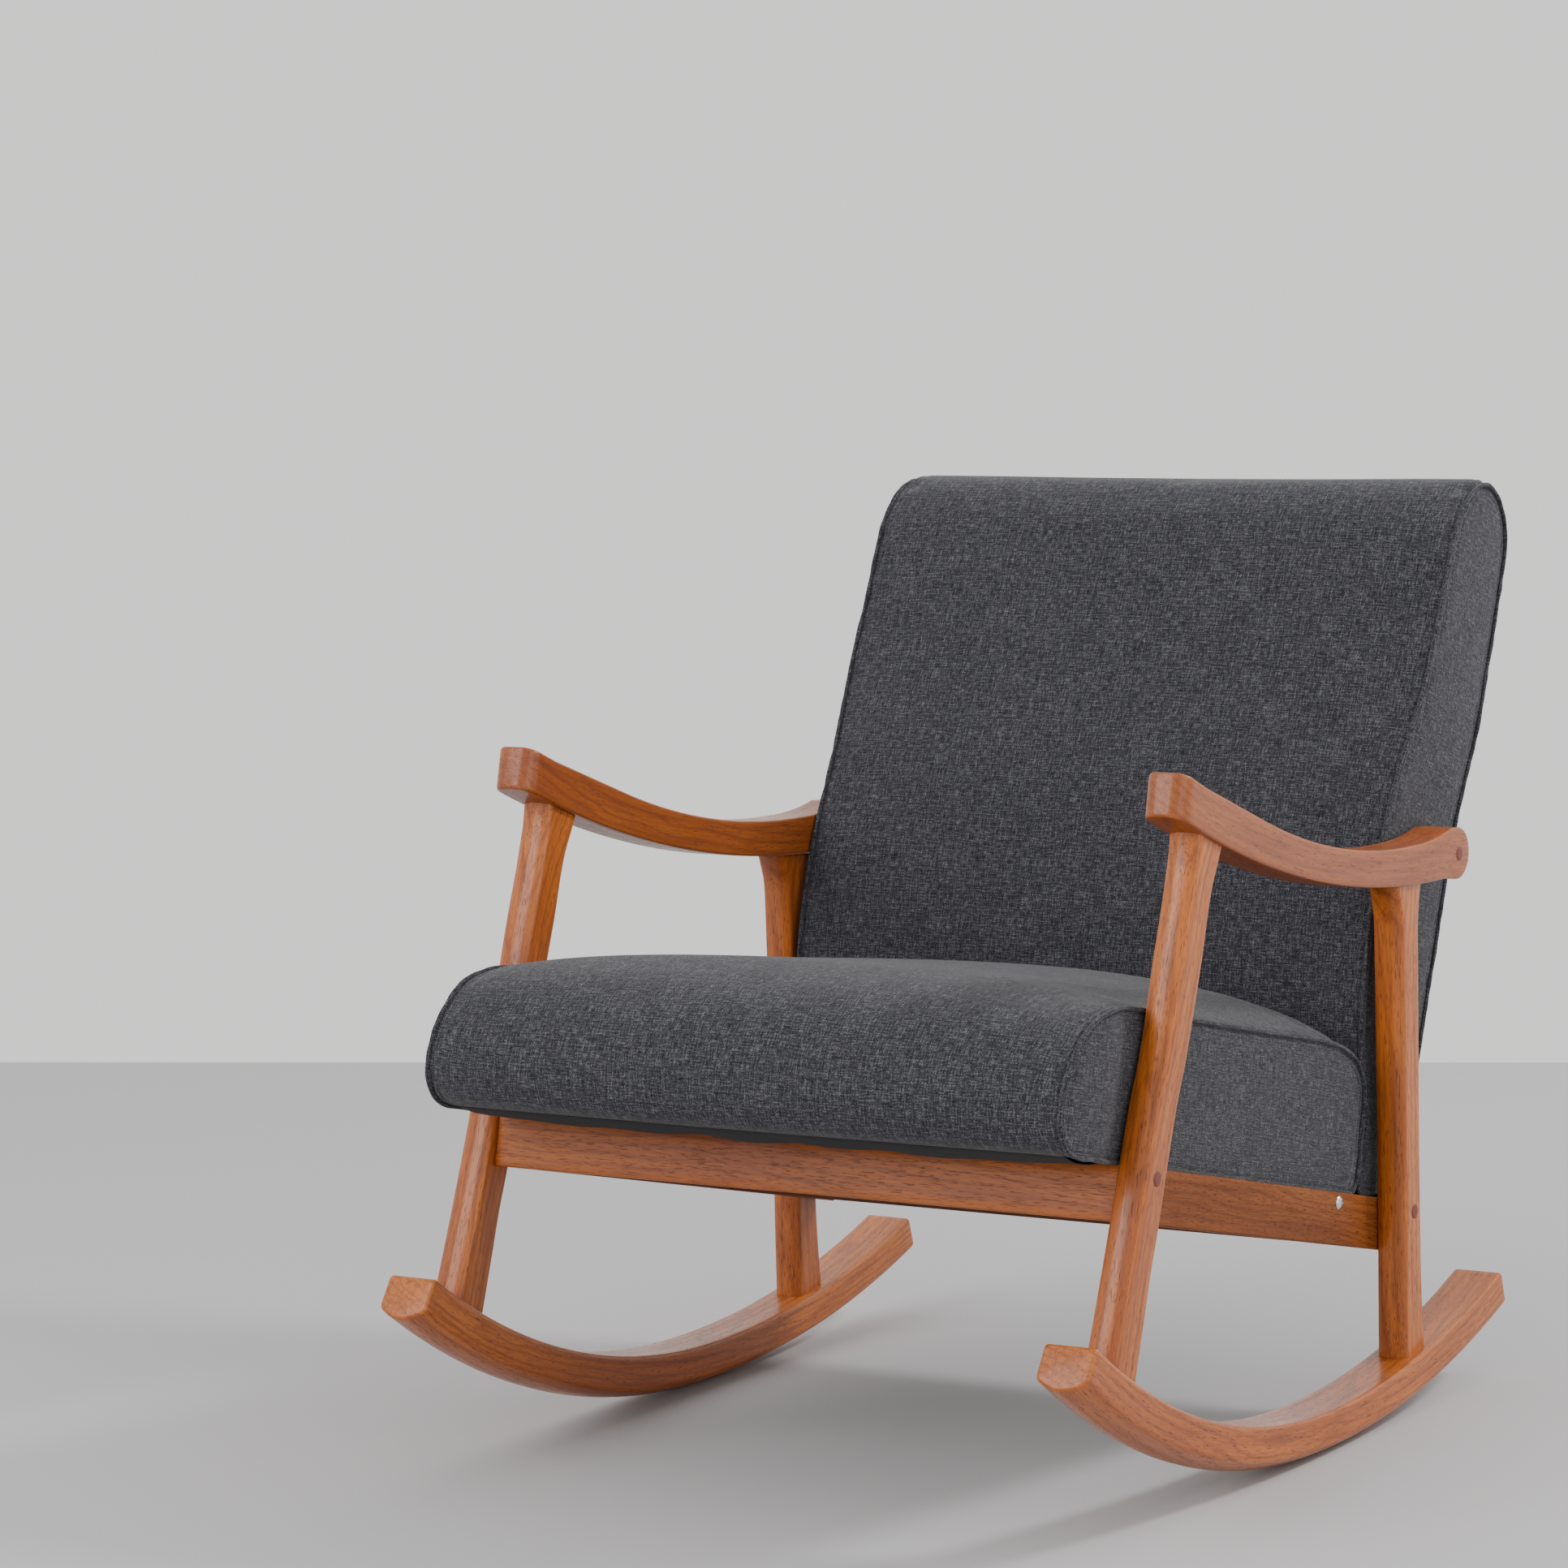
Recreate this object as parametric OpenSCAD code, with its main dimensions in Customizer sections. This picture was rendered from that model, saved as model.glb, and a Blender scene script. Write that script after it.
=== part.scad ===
// Upholstered rocking chair. Millimetres, +Z up, the chair faces -Y, left is the sitter's left (+X).
// Side profiles are given as [y, z] with the floor at z = 0, for a chair that stands level on the
// point where its two rocker arcs meet. rest_lean then rolls the whole chair back to where it balances.

/* [Overall] */
// Distance between the centre planes of the two side frames
frame_spacing = 610; // [560:1:680]
// How far the empty chair rolls back from level to its balance point, in degrees
rest_lean = 1.7; // [0:0.1:8]

/* [Rockers] */
// Radius of the underside, front part
rocker_front_radius = 788; // [700:1:900]
// Radius of the underside, rear part
rocker_rear_radius = 1098; // [950:1:1250]
// Arc from the lowest point to the front tip, in degrees
rocker_front_arc = 32.9; // [28:0.1:36]
// Arc from the lowest point to the rear tip, in degrees
rocker_rear_arc = 20.2; // [18:0.1:24]
// Width of a rocker
rocker_width = 46; // [40:1:54]
// Thickness of a rocker from its flat top to its round underside
rocker_height = 38; // [32:1:44]
// How far the underside is crowned across its width
rocker_crown = 9; // [4:1:12]

/* [Legs and armrests] */
// Thickness of the legs across the chair
leg_thickness = 28; // [24:1:34]
// Lean of the front leg, top to the rear, in degrees
front_leg_lean = 18.8; // [16:0.1:21]
// Lean of the rear leg, top to the front, in degrees
rear_leg_lean = 3.9; // [2:0.1:6]
// Width of an armrest
arm_width = 38; // [34:1:40]
// Radius of the underside of an armrest
arm_under_radius = 1280; // [1200:10:1400]

/* [Seat] */
// Slope of the seat, down to the rear, in degrees
seat_slope = 10.6; // [8:0.1:12]
// Width of the seat cushion
seat_width = 574; // [560:1:578]
// Height of the seat rails
rail_height = 45; // [40:1:50]
// Thickness of the front rail
front_rail_thickness = 20; // [18:1:24]
// Thickness of the side rails
side_rail_thickness = 18; // [16:1:20]

/* [Back] */
// Lean of the backrest, in degrees
back_lean = 20; // [18:0.1:22]
// Width of the backrest
back_width = 566; // [556:1:568]
// Thickness of the two posts inside the backrest
post_thickness = 18; // [16:1:24]

/* [Fasteners] */
// Diameter of the bolt caps
cap_diameter = 13; // [11:0.5:15]
// Diameter of the bolt shanks
bolt_diameter = 6; // [5:1:8]

/* [Hidden] */
// Slack between a fastener and its hole, and between soft parts and what they lie on
fit_gap = 0.1;
soft_gap = 0.3;
round_fn = 48;
arc_fn = 180;
fabric_thickness = 1.6;

// Planes across the chair
leg_centre = frame_spacing / 2;
leg_inner = leg_centre - leg_thickness / 2;
leg_outer = leg_centre + leg_thickness / 2;
arm_inner = leg_centre - arm_width / 2;
arm_outer = leg_centre + arm_width / 2;
rail_inner = leg_inner - side_rail_thickness;
post_inner = rail_inner - post_thickness;

// Bolt lines. The two on the seat rails lie on the seat slope, the third is at the rear of the armrest.
front_bolt = [-294, 271.7];
rear_bolt_along = 496;
back_screw_along = 400;
arm_bolt = [267, 484.5];
rail_top = 9;
rail_bottom = rail_top - rail_height;
side_rail_end = 522;

// Rolling back happens about the centre of the rear arc
function rest_y(p) = p[0] * cos(rest_lean) + (p[1] - rocker_rear_radius) * sin(rest_lean);

// Points on an arc, angles in degrees from the first axis towards the second
function arc_points(centre, radius, from, to, steps = 8) =
    [for (i = [0:steps]) let (a = from + (to - from) * i / steps)
        [centre[0] + radius * cos(a), centre[1] + radius * sin(a)]];

// A point [along, up] of the seat's own slope, and a point [up, depth] of the leaning back, as [y, z]
function on_seat(p) = [front_bolt[0] + p[0] * cos(seat_slope) + p[1] * sin(seat_slope),
                       front_bolt[1] - p[0] * sin(seat_slope) + p[1] * cos(seat_slope)];
function on_back(p) = [arm_bolt[0] + p[0] * sin(back_lean) + p[1] * cos(back_lean),
                       arm_bolt[1] + p[0] * cos(back_lean) - p[1] * sin(back_lean)];

// Rocker section, radius outwards along the first axis. The underside is a shallow arc.
rocker_half = rocker_width / 2;
crown_radius = (rocker_half * rocker_half + rocker_crown * rocker_crown) / (2 * rocker_crown);
crown_angle = asin(rocker_half / crown_radius);
function rocker_section(radius) =
    concat([[radius - rocker_height, rocker_half], [radius - rocker_height, -rocker_half]],
           arc_points([radius - crown_radius, 0], crown_radius, -crown_angle, crown_angle, 10));

// Armrest outline: straight nose slope, one long dip, a short rise to the round rear end
arm_under_centre = [195, 463.5 + arm_under_radius];
arm_top_radius = 900;
arm_top_centre = [150, 497.5 + arm_top_radius];
arm_rise_radius = 330;
arm_rise_centre = [175, 497.9 + arm_rise_radius];
arm_end_radius = 22.5;
arm_nose_slope = 17;
arm_nose_top = [[-259, 572], [-254, 578.5], [-247, 578]];
arm_nose_bottom = [-266.5, 553];
function arm_under_angle(y) = -90 + asin((y - arm_under_centre[0]) / arm_under_radius);
arm_outline = concat(
    [arm_nose_bottom],
    arc_points(arm_under_centre, arm_under_radius, arm_under_angle(-262), arm_under_angle(240), 28),
    arc_points(arm_bolt, arm_end_radius, -100, 110, 16),
    arc_points(arm_rise_centre, arm_rise_radius, -76.5, -90, 5),
    arc_points(arm_top_centre, arm_top_radius, -90, -90 - arm_nose_slope, 12),
    [arm_nose_top[2], arm_nose_top[1], arm_nose_top[0]]);

// Legs: [height, half depth] along a straight axis, with a flare under the armrest
front_leg_foot = [-336, 140];
front_leg_sizes = [[80, 19], [140, 18.5], [318, 15.5], [433, 16], [480, 16], [505, 17.5],
                   [528, 22], [545, 25]];
rear_leg_foot = [201, 57];
rear_leg_sizes = [[20, 18], [120, 15.5], [317, 15], [395, 15.5], [430, 16.5], [458, 21.5], [480, 24]];
leg_front_bulge = 2.5;
function leg_axis(foot, lean, z) = foot[0] + (z - foot[1]) * tan(lean);
function leg_outline(foot, lean, sizes) = concat(
    [for (s = sizes) [leg_axis(foot, lean, s[0]) - s[1] - leg_front_bulge, s[0]]],
    [for (i = [len(sizes) - 1:-1:0]) [leg_axis(foot, lean, sizes[i][0]) + sizes[i][1], sizes[i][0]]]);

// Seat cushion outline [along, up] on the seat slope, drawn smaller by inset
seat_bottom = rail_top + 1.6;
seat_rear = 440;
seat_nose_radius = 80;
seat_nose_centre = [-44, 64];
seat_toe_radius = 25;
seat_toe_centre = [-99, seat_bottom + seat_toe_radius];
seat_heel_radius = 6;
seat_rear_radius = 40;
seat_rear_centre = [seat_rear - seat_rear_radius, 132];
function seat_outline(inset) = concat(
    arc_points(seat_nose_centre, seat_nose_radius - inset, 90, 180, 12),
    arc_points(seat_toe_centre, seat_toe_radius - inset, 180, 270, 6),
    arc_points([seat_rear - seat_heel_radius, seat_bottom + seat_heel_radius],
               seat_heel_radius - inset, -90, 0, 3),
    arc_points(seat_rear_centre, seat_rear_radius - inset, 0, 90, 8));

// Seat cushion seen from the front [x, up]: straight sides up to the seam, then a crown
seat_seam_height = 130;
seat_crown = 46;
function seat_front_view(inset) =
    let (half = seat_width / 2 - inset,
         radius = (half * half + seat_crown * seat_crown) / (2 * seat_crown),
         spread = asin(half / radius))
    concat([[half, 0], [half, seat_seam_height - inset]],
           arc_points([0, seat_seam_height - inset + seat_crown - radius], radius,
                      90 - spread, 90 + spread, 16),
           [[-half, 0]]);

// Backrest outline [up, depth], drawn smaller by inset
back_rear = 73;
back_top_radius = 48;
back_outline_top = 344;
function back_outline(inset) = concat(
    [[-285 + inset, back_rear - inset]],
    arc_points([back_outline_top - back_top_radius, back_rear - back_top_radius],
               back_top_radius - inset, 90, 0, 8),
    [[339 - inset, 6], [326 - inset, -10 + inset / 2], [305 - inset / 2, -26 + inset],
     [276, -37 + inset], [200, -43 + inset], [120, -51 + inset], [50, -62 + inset], [0, -69 + inset],
     [-50, -71 + inset], [-100, -67 + inset], [-150, -58 + inset], [-185, -47 + inset],
     [-235, -29 + inset], [-285 + inset, -10 + inset]]);

// Backrest seen from the front [x, up]: narrower between the armrests, rounded top corners
back_corner_radius = 14;
back_shoulder = 8;
back_shoulder_from = 35;
back_shoulder_to = 75;
function back_front_view(inset) =
    let (low = back_width / 2 - inset,
         high = back_width / 2 + back_shoulder - inset,
         corner = back_corner_radius - inset,
         top = back_outline_top - back_corner_radius)
    concat([[low, -320], [low, back_shoulder_from], [high, back_shoulder_to]],
           arc_points([high - corner, top], corner, 0, 90, 6),
           arc_points([corner - high, top], corner, 90, 180, 6),
           [[-high, back_shoulder_to], [-low, back_shoulder_from], [-low, -320]]);

// Inner frame of the back, [up, depth]
frame_front = -20;
frame_rear = 68;
frame_top = 296;

// Sizes that several fasteners share
cap_height = 4;
counterbore_depth = 12;
bolt_head_height = 6;
bolt_head_diameter = 10;
insert_diameter = 9;
insert_length = 14;
barrel_diameter = 10;
spacer_diameter = 16;
dowel_diameter = 12;
rail_dowel_diameter = 8;
screw_diameter = 5;
block_leg = 55;
block_top = rail_top - 0.2;
block_height = 22;
rear_rail_along = 340;
rear_rail_thickness = 20;
seat_bar_width = 28;
seat_bar_bottom = seat_bottom + fabric_thickness + soft_gap;
seat_bar_top = 60;
seat_screw_places = [[262, 35], [262, rear_rail_along - 25]];
rail_dowel_heights = [-28, -12];

// Bars inside the seat, [along] on the seat slope
seat_bar_half = seat_width / 2 - fabric_thickness - 2 * soft_gap;
seat_front_bar_front = -90;
seat_rear_bar_rear = seat_rear - seat_heel_radius;

// Straps inside the seat and the back
strap_width = 50;
strap_thickness = 1.5;
strap_lap = 20;
seat_long_strap_pitch = 95;
seat_cross_strap_pitch = 105;
seat_cross_strap_first = -10;
back_strap_pitch = 105;
back_strap_first = -215;

// Dowels: heights of their middles and lengths, at the foot and the head of each leg
front_dowel_heights = [119, 528];
rear_dowel_heights = [57, 464];
leg_dowel_lengths = [44, 40];
rail_dowel_length = 32;
rear_rail_dowel_inner = 20;
rear_rail_dowel_outer = 10;

// Front leg bolt and the barrel nut that it screws into
front_bolt_length = 38;
front_bolt_hole = 45;
barrel_from_leg = 30;
barrel_start = -6;

// Depth of the small flat under each rocker, on which the empty chair comes to rest
sole_flat = 0.1;

// The origin is under the middle of the chair, on the floor
front_tip_low = [-(rocker_front_radius) * sin(rocker_front_arc),
                 rocker_front_radius * (1 - cos(rocker_front_arc))];
rear_extreme = max([for (p = back_outline(0)) rest_y(on_back(p))]);
centre_shift = -(rest_y(front_tip_low) + rear_extreme) / 2;

// Placing helpers
module at_rest() {
    translate([0, centre_shift, rocker_rear_radius - sole_flat])
        rotate([-rest_lean, 0, 0])
            translate([0, 0, -rocker_rear_radius])
                children();
}
module right_side() { mirror([1, 0, 0]) children(); }
module both_sides() {
    children();
    right_side() children();
}
// Extrudes a [y, z] outline across the chair from x = low to x = high
module across(low, high) {
    translate([low, 0, 0])
        rotate([90, 0, 90])
            linear_extrude(high - low)
                children();
}
// The seat slope: along +Y and up +Z from the front bolt line
module seat_place() {
    translate([0, front_bolt[0], front_bolt[1]])
        rotate([-seat_slope, 0, 0])
            children();
}
// The leaning back: up +Z and depth +Y from the armrest bolt line
module back_place() {
    translate([0, arm_bolt[0], arm_bolt[1]])
        rotate([-back_lean, 0, 0])
            children();
}
// A cylinder across the chair from x = low to x = high
module rod_across(low, high, diameter) {
    translate([low, 0, 0])
        rotate([0, 90, 0])
            cylinder(d = diameter, h = high - low, $fn = round_fn);
}
// A box given by its low and high corners
module box(low, high) {
    translate(low)
        cube(high - low);
}

// Side frames
module rocker_arc(radius, arc) {
    translate([leg_centre, 0, radius])
        rotate([90, 0, 90])
            rotate([0, 0, -90])
                rotate_extrude(angle = arc, $fn = arc_fn)
                    polygon(rocker_section(radius));
}
module leg_dowel(foot, lean, z, length) {
    translate([leg_centre, leg_axis(foot, lean, z), z])
        rotate([-lean, 0, 0])
            cylinder(d = dowel_diameter, h = length, center = true, $fn = round_fn);
}
module side_dowels() {
    for (i = [0:1]) {
        leg_dowel(front_leg_foot, front_leg_lean, front_dowel_heights[i], leg_dowel_lengths[i]);
        leg_dowel(rear_leg_foot, -rear_leg_lean, rear_dowel_heights[i], leg_dowel_lengths[i]);
    }
}
// Everything below the flat that the rocker stands on when the chair is at rest
module below_sole() {
    translate([0, 0, rocker_rear_radius])
        rotate([rest_lean, 0, 0])
            translate([0, 0, -rocker_rear_radius])
                box([0, -100, -20], [2 * leg_centre, 100, sole_flat]);
}
module rocker() {
    color("peru")
        difference() {
            union() {
                mirror([0, 1, 0]) rocker_arc(rocker_front_radius, rocker_front_arc);
                rocker_arc(rocker_rear_radius, rocker_rear_arc);
            }
            side_dowels();
            below_sole();
        }
}
module arm_blank(slack = 0) {
    across(arm_inner - slack, arm_outer + slack)
        polygon(arm_outline);
}
module arm_plan() {
    nose_front = -268;
    nose_radius = 14.5;
    half = arm_width / 2;
    outline = concat(
        arc_points([-half + nose_radius, nose_front + nose_radius], nose_radius, 180, 270, 8),
        arc_points([half - nose_radius, nose_front + nose_radius], nose_radius, 270, 360, 8),
        [[half, 300], [-half, 300]]);
    translate([leg_centre, 0, 400])
        linear_extrude(250)
            polygon(outline);
}
module armrest() {
    color("peru")
        difference() {
            intersection() {
                arm_blank();
                arm_plan();
            }
            side_dowels();
            translate([0, arm_bolt[0], arm_bolt[1]]) {
                rod_across(arm_inner - 1, arm_outer, bolt_diameter + 2 * fit_gap);
                rod_across(arm_outer - counterbore_depth, arm_outer + 1, cap_diameter);
            }
        }
}
module leg(foot, lean, sizes, radius, bolt_along) {
    color("peru")
        difference() {
            intersection() {
                across(leg_inner, leg_outer)
                    polygon(leg_outline(foot, lean, sizes));
                translate([leg_inner - 1, 0, radius])
                    rotate([0, 90, 0])
                        cylinder(r = radius - rocker_height, h = leg_thickness + 2, $fn = arc_fn);
            }
            arm_blank(1);
            side_dowels();
            seat_place()
                translate([0, bolt_along, 0]) {
                    rod_across(leg_inner - 1, leg_outer, bolt_diameter + 2 * fit_gap);
                    rod_across(leg_outer - counterbore_depth, leg_outer + 1, cap_diameter);
                }
        }
}
module front_leg() { leg(front_leg_foot, front_leg_lean, front_leg_sizes, rocker_front_radius, 0); }
module rear_leg() {
    leg(rear_leg_foot, -rear_leg_lean, rear_leg_sizes, rocker_rear_radius, rear_bolt_along);
}

// Seat rails
module rail_dowel(along, x, up) {
    translate([x, along, up])
        rotate([90, 0, 0])
            cylinder(d = rail_dowel_diameter, h = rail_dowel_length, center = true, $fn = round_fn);
}
module side_rail_dowels() {
    for (up = rail_dowel_heights)
        rail_dowel(front_rail_thickness / 2 + 2, leg_inner - side_rail_thickness / 2, up);
    for (up = rail_dowel_heights)
        translate([0, rear_rail_along + rear_rail_thickness / 2, up])
            rod_across(rail_inner - rear_rail_dowel_inner, rail_inner + rear_rail_dowel_outer,
                       rail_dowel_diameter);
}
module barrel(diameter, from, to) {
    translate([leg_inner - barrel_from_leg, from, 0])
        rotate([-90, 0, 0])
            cylinder(d = diameter, h = to - from, $fn = round_fn);
}
module front_rail() {
    half = front_rail_thickness / 2;
    color("peru")
        seat_place()
            difference() {
                box([-leg_inner, -half, rail_bottom], [leg_inner, half, rail_top]);
                both_sides() {
                    rod_across(leg_inner - front_bolt_hole, leg_inner + 1, bolt_diameter + 2 * fit_gap);
                    barrel(barrel_diameter, barrel_start, half + 1);
                    side_rail_dowels();
                }
            }
}
module side_rail() {
    color("peru")
        seat_place()
            difference() {
                box([rail_inner, front_rail_thickness / 2, rail_bottom],
                    [leg_inner, side_rail_end, rail_top]);
                side_rail_dowels();
                for (along = [back_screw_along, rear_bolt_along])
                    translate([0, along, 0])
                        rod_across(rail_inner - 1, leg_inner + 1, bolt_diameter + 2 * fit_gap);
            }
}
module rear_rail() {
    color("burlywood")
        seat_place()
            difference() {
                box([-rail_inner, rear_rail_along, rail_bottom],
                    [rail_inner, rear_rail_along + rear_rail_thickness, rail_top]);
                both_sides() side_rail_dowels();
            }
}
module corner_block(along, direction) {
    translate([rail_inner, along, block_top - block_height])
        linear_extrude(block_height)
            polygon([[0, 0], [-block_leg, 0], [-block_leg, direction * 8],
                     [-8, direction * block_leg], [0, direction * block_leg]]);
}
module seat_screw_holes(diameter) {
    for (place = seat_screw_places)
        translate([place[0], place[1], -50])
            cylinder(d = diameter, h = 95, $fn = round_fn);
}
module corner_blocks() {
    color("burlywood")
        seat_place()
            both_sides()
                difference() {
                    union() {
                        corner_block(front_rail_thickness / 2, 1);
                        corner_block(rear_rail_along, -1);
                    }
                    seat_screw_holes(screw_diameter + 2 * fit_gap);
                }
}
module rail_dowels() {
    color("tan")
        seat_place()
            both_sides()
                side_rail_dowels();
}

// Seat
module seat_bar_box(low, high) {
    box([low[0], low[1], seat_bar_bottom], [high[0], high[1], seat_bar_top]);
}
module seat_front_bar() {
    color("burlywood")
        seat_place()
            seat_bar_box([-seat_bar_half, seat_front_bar_front],
                         [seat_bar_half, seat_front_bar_front + seat_bar_width]);
}
module seat_rear_bar() {
    color("burlywood")
        seat_place()
            seat_bar_box([-seat_bar_half, seat_rear_bar_rear - seat_bar_width],
                         [seat_bar_half, seat_rear_bar_rear]);
}
module seat_side_bars() {
    color("burlywood")
        seat_place()
            both_sides()
                difference() {
                    seat_bar_box([seat_bar_half - seat_bar_width, seat_front_bar_front + seat_bar_width],
                                 [seat_bar_half, seat_rear_bar_rear - seat_bar_width]);
                    seat_screw_holes(screw_diameter + 2 * fit_gap);
                }
}
module seat_webbing() {
    color("dimgray")
        seat_place() {
            for (i = [-2:2])
                box([i * seat_long_strap_pitch - strap_width / 2, seat_front_bar_front + strap_lap / 2,
                     seat_bar_top],
                    [i * seat_long_strap_pitch + strap_width / 2, seat_rear_bar_rear - strap_lap / 2,
                     seat_bar_top + strap_thickness]);
            for (i = [0:3])
                box([-seat_bar_half + strap_lap / 2, seat_cross_strap_first + i * seat_cross_strap_pitch,
                     seat_bar_top + strap_thickness],
                    [seat_bar_half - strap_lap / 2,
                     seat_cross_strap_first + i * seat_cross_strap_pitch + strap_width,
                     seat_bar_top + 2 * strap_thickness]);
        }
}
module seat_solid(inset) {
    intersection() {
        across(-seat_width, seat_width)
            polygon(seat_outline(inset));
        translate([0, 600, 0])
            rotate([90, 0, 0])
                linear_extrude(900)
                    polygon(seat_front_view(inset));
    }
}
module seat_foam() {
    foam_bottom = seat_bar_top + 3 + soft_gap;
    color("khaki")
        seat_place()
            difference() {
                seat_solid(fabric_thickness + soft_gap);
                box([-400, seat_front_bar_front - soft_gap, -100], [400, 600, foam_bottom]);
            }
}
module seat_cover() {
    opening = 30;
    color("dimgray")
        seat_place()
            difference() {
                seat_solid(0);
                seat_solid(fabric_thickness);
                box([-seat_width / 2 + opening, seat_front_bar_front + opening, 0],
                    [seat_width / 2 - opening, seat_rear - opening, seat_bottom + 5]);
                both_sides() seat_screw_holes(screw_diameter + 2 * fit_gap);
            }
}
module seat_dust_cloth() {
    margin = 7;
    cloth_bottom = rail_top + 0.2;
    color("black")
        seat_place()
            difference() {
                box([-seat_width / 2 + margin, seat_front_bar_front + margin, cloth_bottom],
                    [seat_width / 2 - margin, seat_rear - margin, cloth_bottom + 1]);
                both_sides() seat_screw_holes(screw_diameter + 2 * fit_gap);
            }
}
module seat_screws() {
    head_height = 3;
    block_bottom = block_top - block_height;
    color("gray")
        seat_place()
            both_sides()
                for (place = seat_screw_places)
                    translate([place[0], place[1], block_bottom - head_height]) {
                        cylinder(d = 2 * screw_diameter, h = head_height, $fn = round_fn);
                        cylinder(d = screw_diameter, h = 56, $fn = round_fn);
                    }
}

// Back
// The upright stays behind the seat, then ends in a foot beside the side rail
module post_upright() {
    behind_seat = 167;
    points = concat(
        [for (p = [[frame_top, frame_front], [frame_top, 40], [250, frame_rear], [-150, frame_rear]])
            on_back(p)],
        [on_seat([516, 4]), on_seat([516, rail_bottom + 3]), on_seat([440, rail_bottom + 3]),
         [behind_seat, 200]],
        [[behind_seat, on_back([-240, frame_front])[1]], on_back([-236, frame_front])]);
    across(post_inner, rail_inner)
        polygon(points);
}
module post_foot() {
    points = [[380, rail_bottom + 3], [480, rail_bottom + 3], [480, 7], [380, 7]];
    across(post_inner, rail_inner)
        polygon([for (p = points) on_seat(p)]);
}
module back_post() {
    color("burlywood")
        difference() {
            union() {
                post_upright();
                post_foot();
            }
            translate([0, arm_bolt[0], arm_bolt[1]])
                rod_across(rail_inner - insert_length, rail_inner + 1, insert_diameter);
            seat_place()
                for (along = [back_screw_along, rear_bolt_along])
                    translate([0, along, 0])
                        rod_across(rail_inner - insert_length, rail_inner + 1, insert_diameter);
            translate([0, arm_bolt[0], arm_bolt[1]])
                rod_across(post_inner - 1, rail_inner, bolt_diameter + 2 * fit_gap);
            seat_place()
                for (along = [back_screw_along, rear_bolt_along])
                    translate([0, along, 0])
                        rod_across(post_inner - 1, rail_inner, bolt_diameter + 2 * fit_gap);
        }
}
module back_bar(up, front, rear) {
    color("burlywood")
        back_place()
            box([-post_inner, front, up - 11], [post_inner, rear, up + 11]);
}
module back_top_bar() { back_bar(frame_top - 11, frame_front, 40); }
module back_middle_bar() { back_bar(-60, frame_front + 12, frame_rear - 8); }
module back_bottom_bar() { back_bar(-255, -8, frame_rear); }
module back_webbing() {
    color("dimgray")
        back_place()
            for (i = [0:4])
                box([-rail_inner + 4, frame_front - strap_thickness, back_strap_first + i * back_strap_pitch],
                    [rail_inner - 4, frame_front, back_strap_first + i * back_strap_pitch + strap_width]);
}
module back_solid(inset) {
    intersection() {
        across(-back_width, back_width)
            polygon([for (p = back_outline(inset)) on_back(p)]);
        back_place()
            translate([0, 200, 0])
                rotate([90, 0, 0])
                    linear_extrude(400)
                        polygon(back_front_view(inset));
    }
}
module back_foam() {
    gap = 0.4;
    foam_inset = fabric_thickness + soft_gap;
    color("khaki")
        difference() {
            back_solid(foam_inset);
            back_place()
                box([-rail_inner - gap, frame_front - 1.5 - gap, -400],
                    [rail_inner + gap, 100, frame_top + gap]);
            back_place()
                both_sides()
                    rod_across(rail_inner - 1, 400, spacer_diameter + 1);
        }
}
module back_cover() {
    gap = 0.4;
    color("dimgray")
        difference() {
            back_solid(0);
            back_solid(fabric_thickness);
            back_place()
                both_sides() {
                    rod_across(rail_inner - 1, 400, spacer_diameter + 1);
                    box([post_inner - gap, -6, -400], [rail_inner + gap, 52, -270]);
                }
        }
}
module arm_spacers() {
    color("silver")
        both_sides()
            translate([0, arm_bolt[0], arm_bolt[1]])
                difference() {
                    rod_across(rail_inner, arm_inner, spacer_diameter);
                    rod_across(rail_inner - 1, arm_inner + 1, bolt_diameter + 2 * fit_gap);
                }
}

// Fasteners
module bolt(head_at, tip_at) {
    rod_across(tip_at, head_at, bolt_diameter);
    difference() {
        rod_across(head_at, head_at + bolt_head_height, bolt_head_diameter);
        translate([head_at + bolt_head_height - 3, 0, 0])
            rotate([0, 90, 0])
                cylinder(d = 5.8, h = 4, $fn = 6);
    }
}
module front_leg_bolts() {
    color("gray")
        seat_place()
            both_sides()
                bolt(leg_outer - counterbore_depth, leg_inner - front_bolt_length);
}
module rear_leg_bolts() {
    color("gray")
        seat_place()
            both_sides()
                translate([0, rear_bolt_along, 0])
                    bolt(leg_outer - counterbore_depth, rail_inner - insert_length);
}
module arm_bolts() {
    color("gray")
        both_sides()
            translate([0, arm_bolt[0], arm_bolt[1]])
                bolt(arm_outer - counterbore_depth, rail_inner - insert_length);
}
module bolt_cap(face) {
    rod_across(face + 0.8 - cap_height, face + 0.8, cap_diameter - 2 * fit_gap);
}
module bolt_caps() {
    color("brown")
        both_sides() {
            seat_place()
                for (along = [0, rear_bolt_along])
                    translate([0, along, 0])
                        bolt_cap(leg_outer);
            translate([0, arm_bolt[0], arm_bolt[1]])
                bolt_cap(arm_outer);
        }
}
module barrel_nuts() {
    half = front_rail_thickness / 2;
    color("silver")
        seat_place()
            both_sides()
                difference() {
                    barrel(barrel_diameter - 2 * fit_gap, barrel_start, half - 1);
                    rod_across(leg_inner - front_bolt_hole, leg_inner, bolt_diameter);
                }
}
module insert_nut() {
    difference() {
        rod_across(rail_inner - insert_length, rail_inner, insert_diameter);
        rod_across(rail_inner - insert_length - 1, rail_inner + 1, bolt_diameter);
    }
}
module insert_nuts() {
    color("silver")
        both_sides() {
            seat_place()
                for (along = [back_screw_along, rear_bolt_along])
                    translate([0, along, 0])
                        insert_nut();
            translate([0, arm_bolt[0], arm_bolt[1]])
                insert_nut();
        }
}
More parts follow.
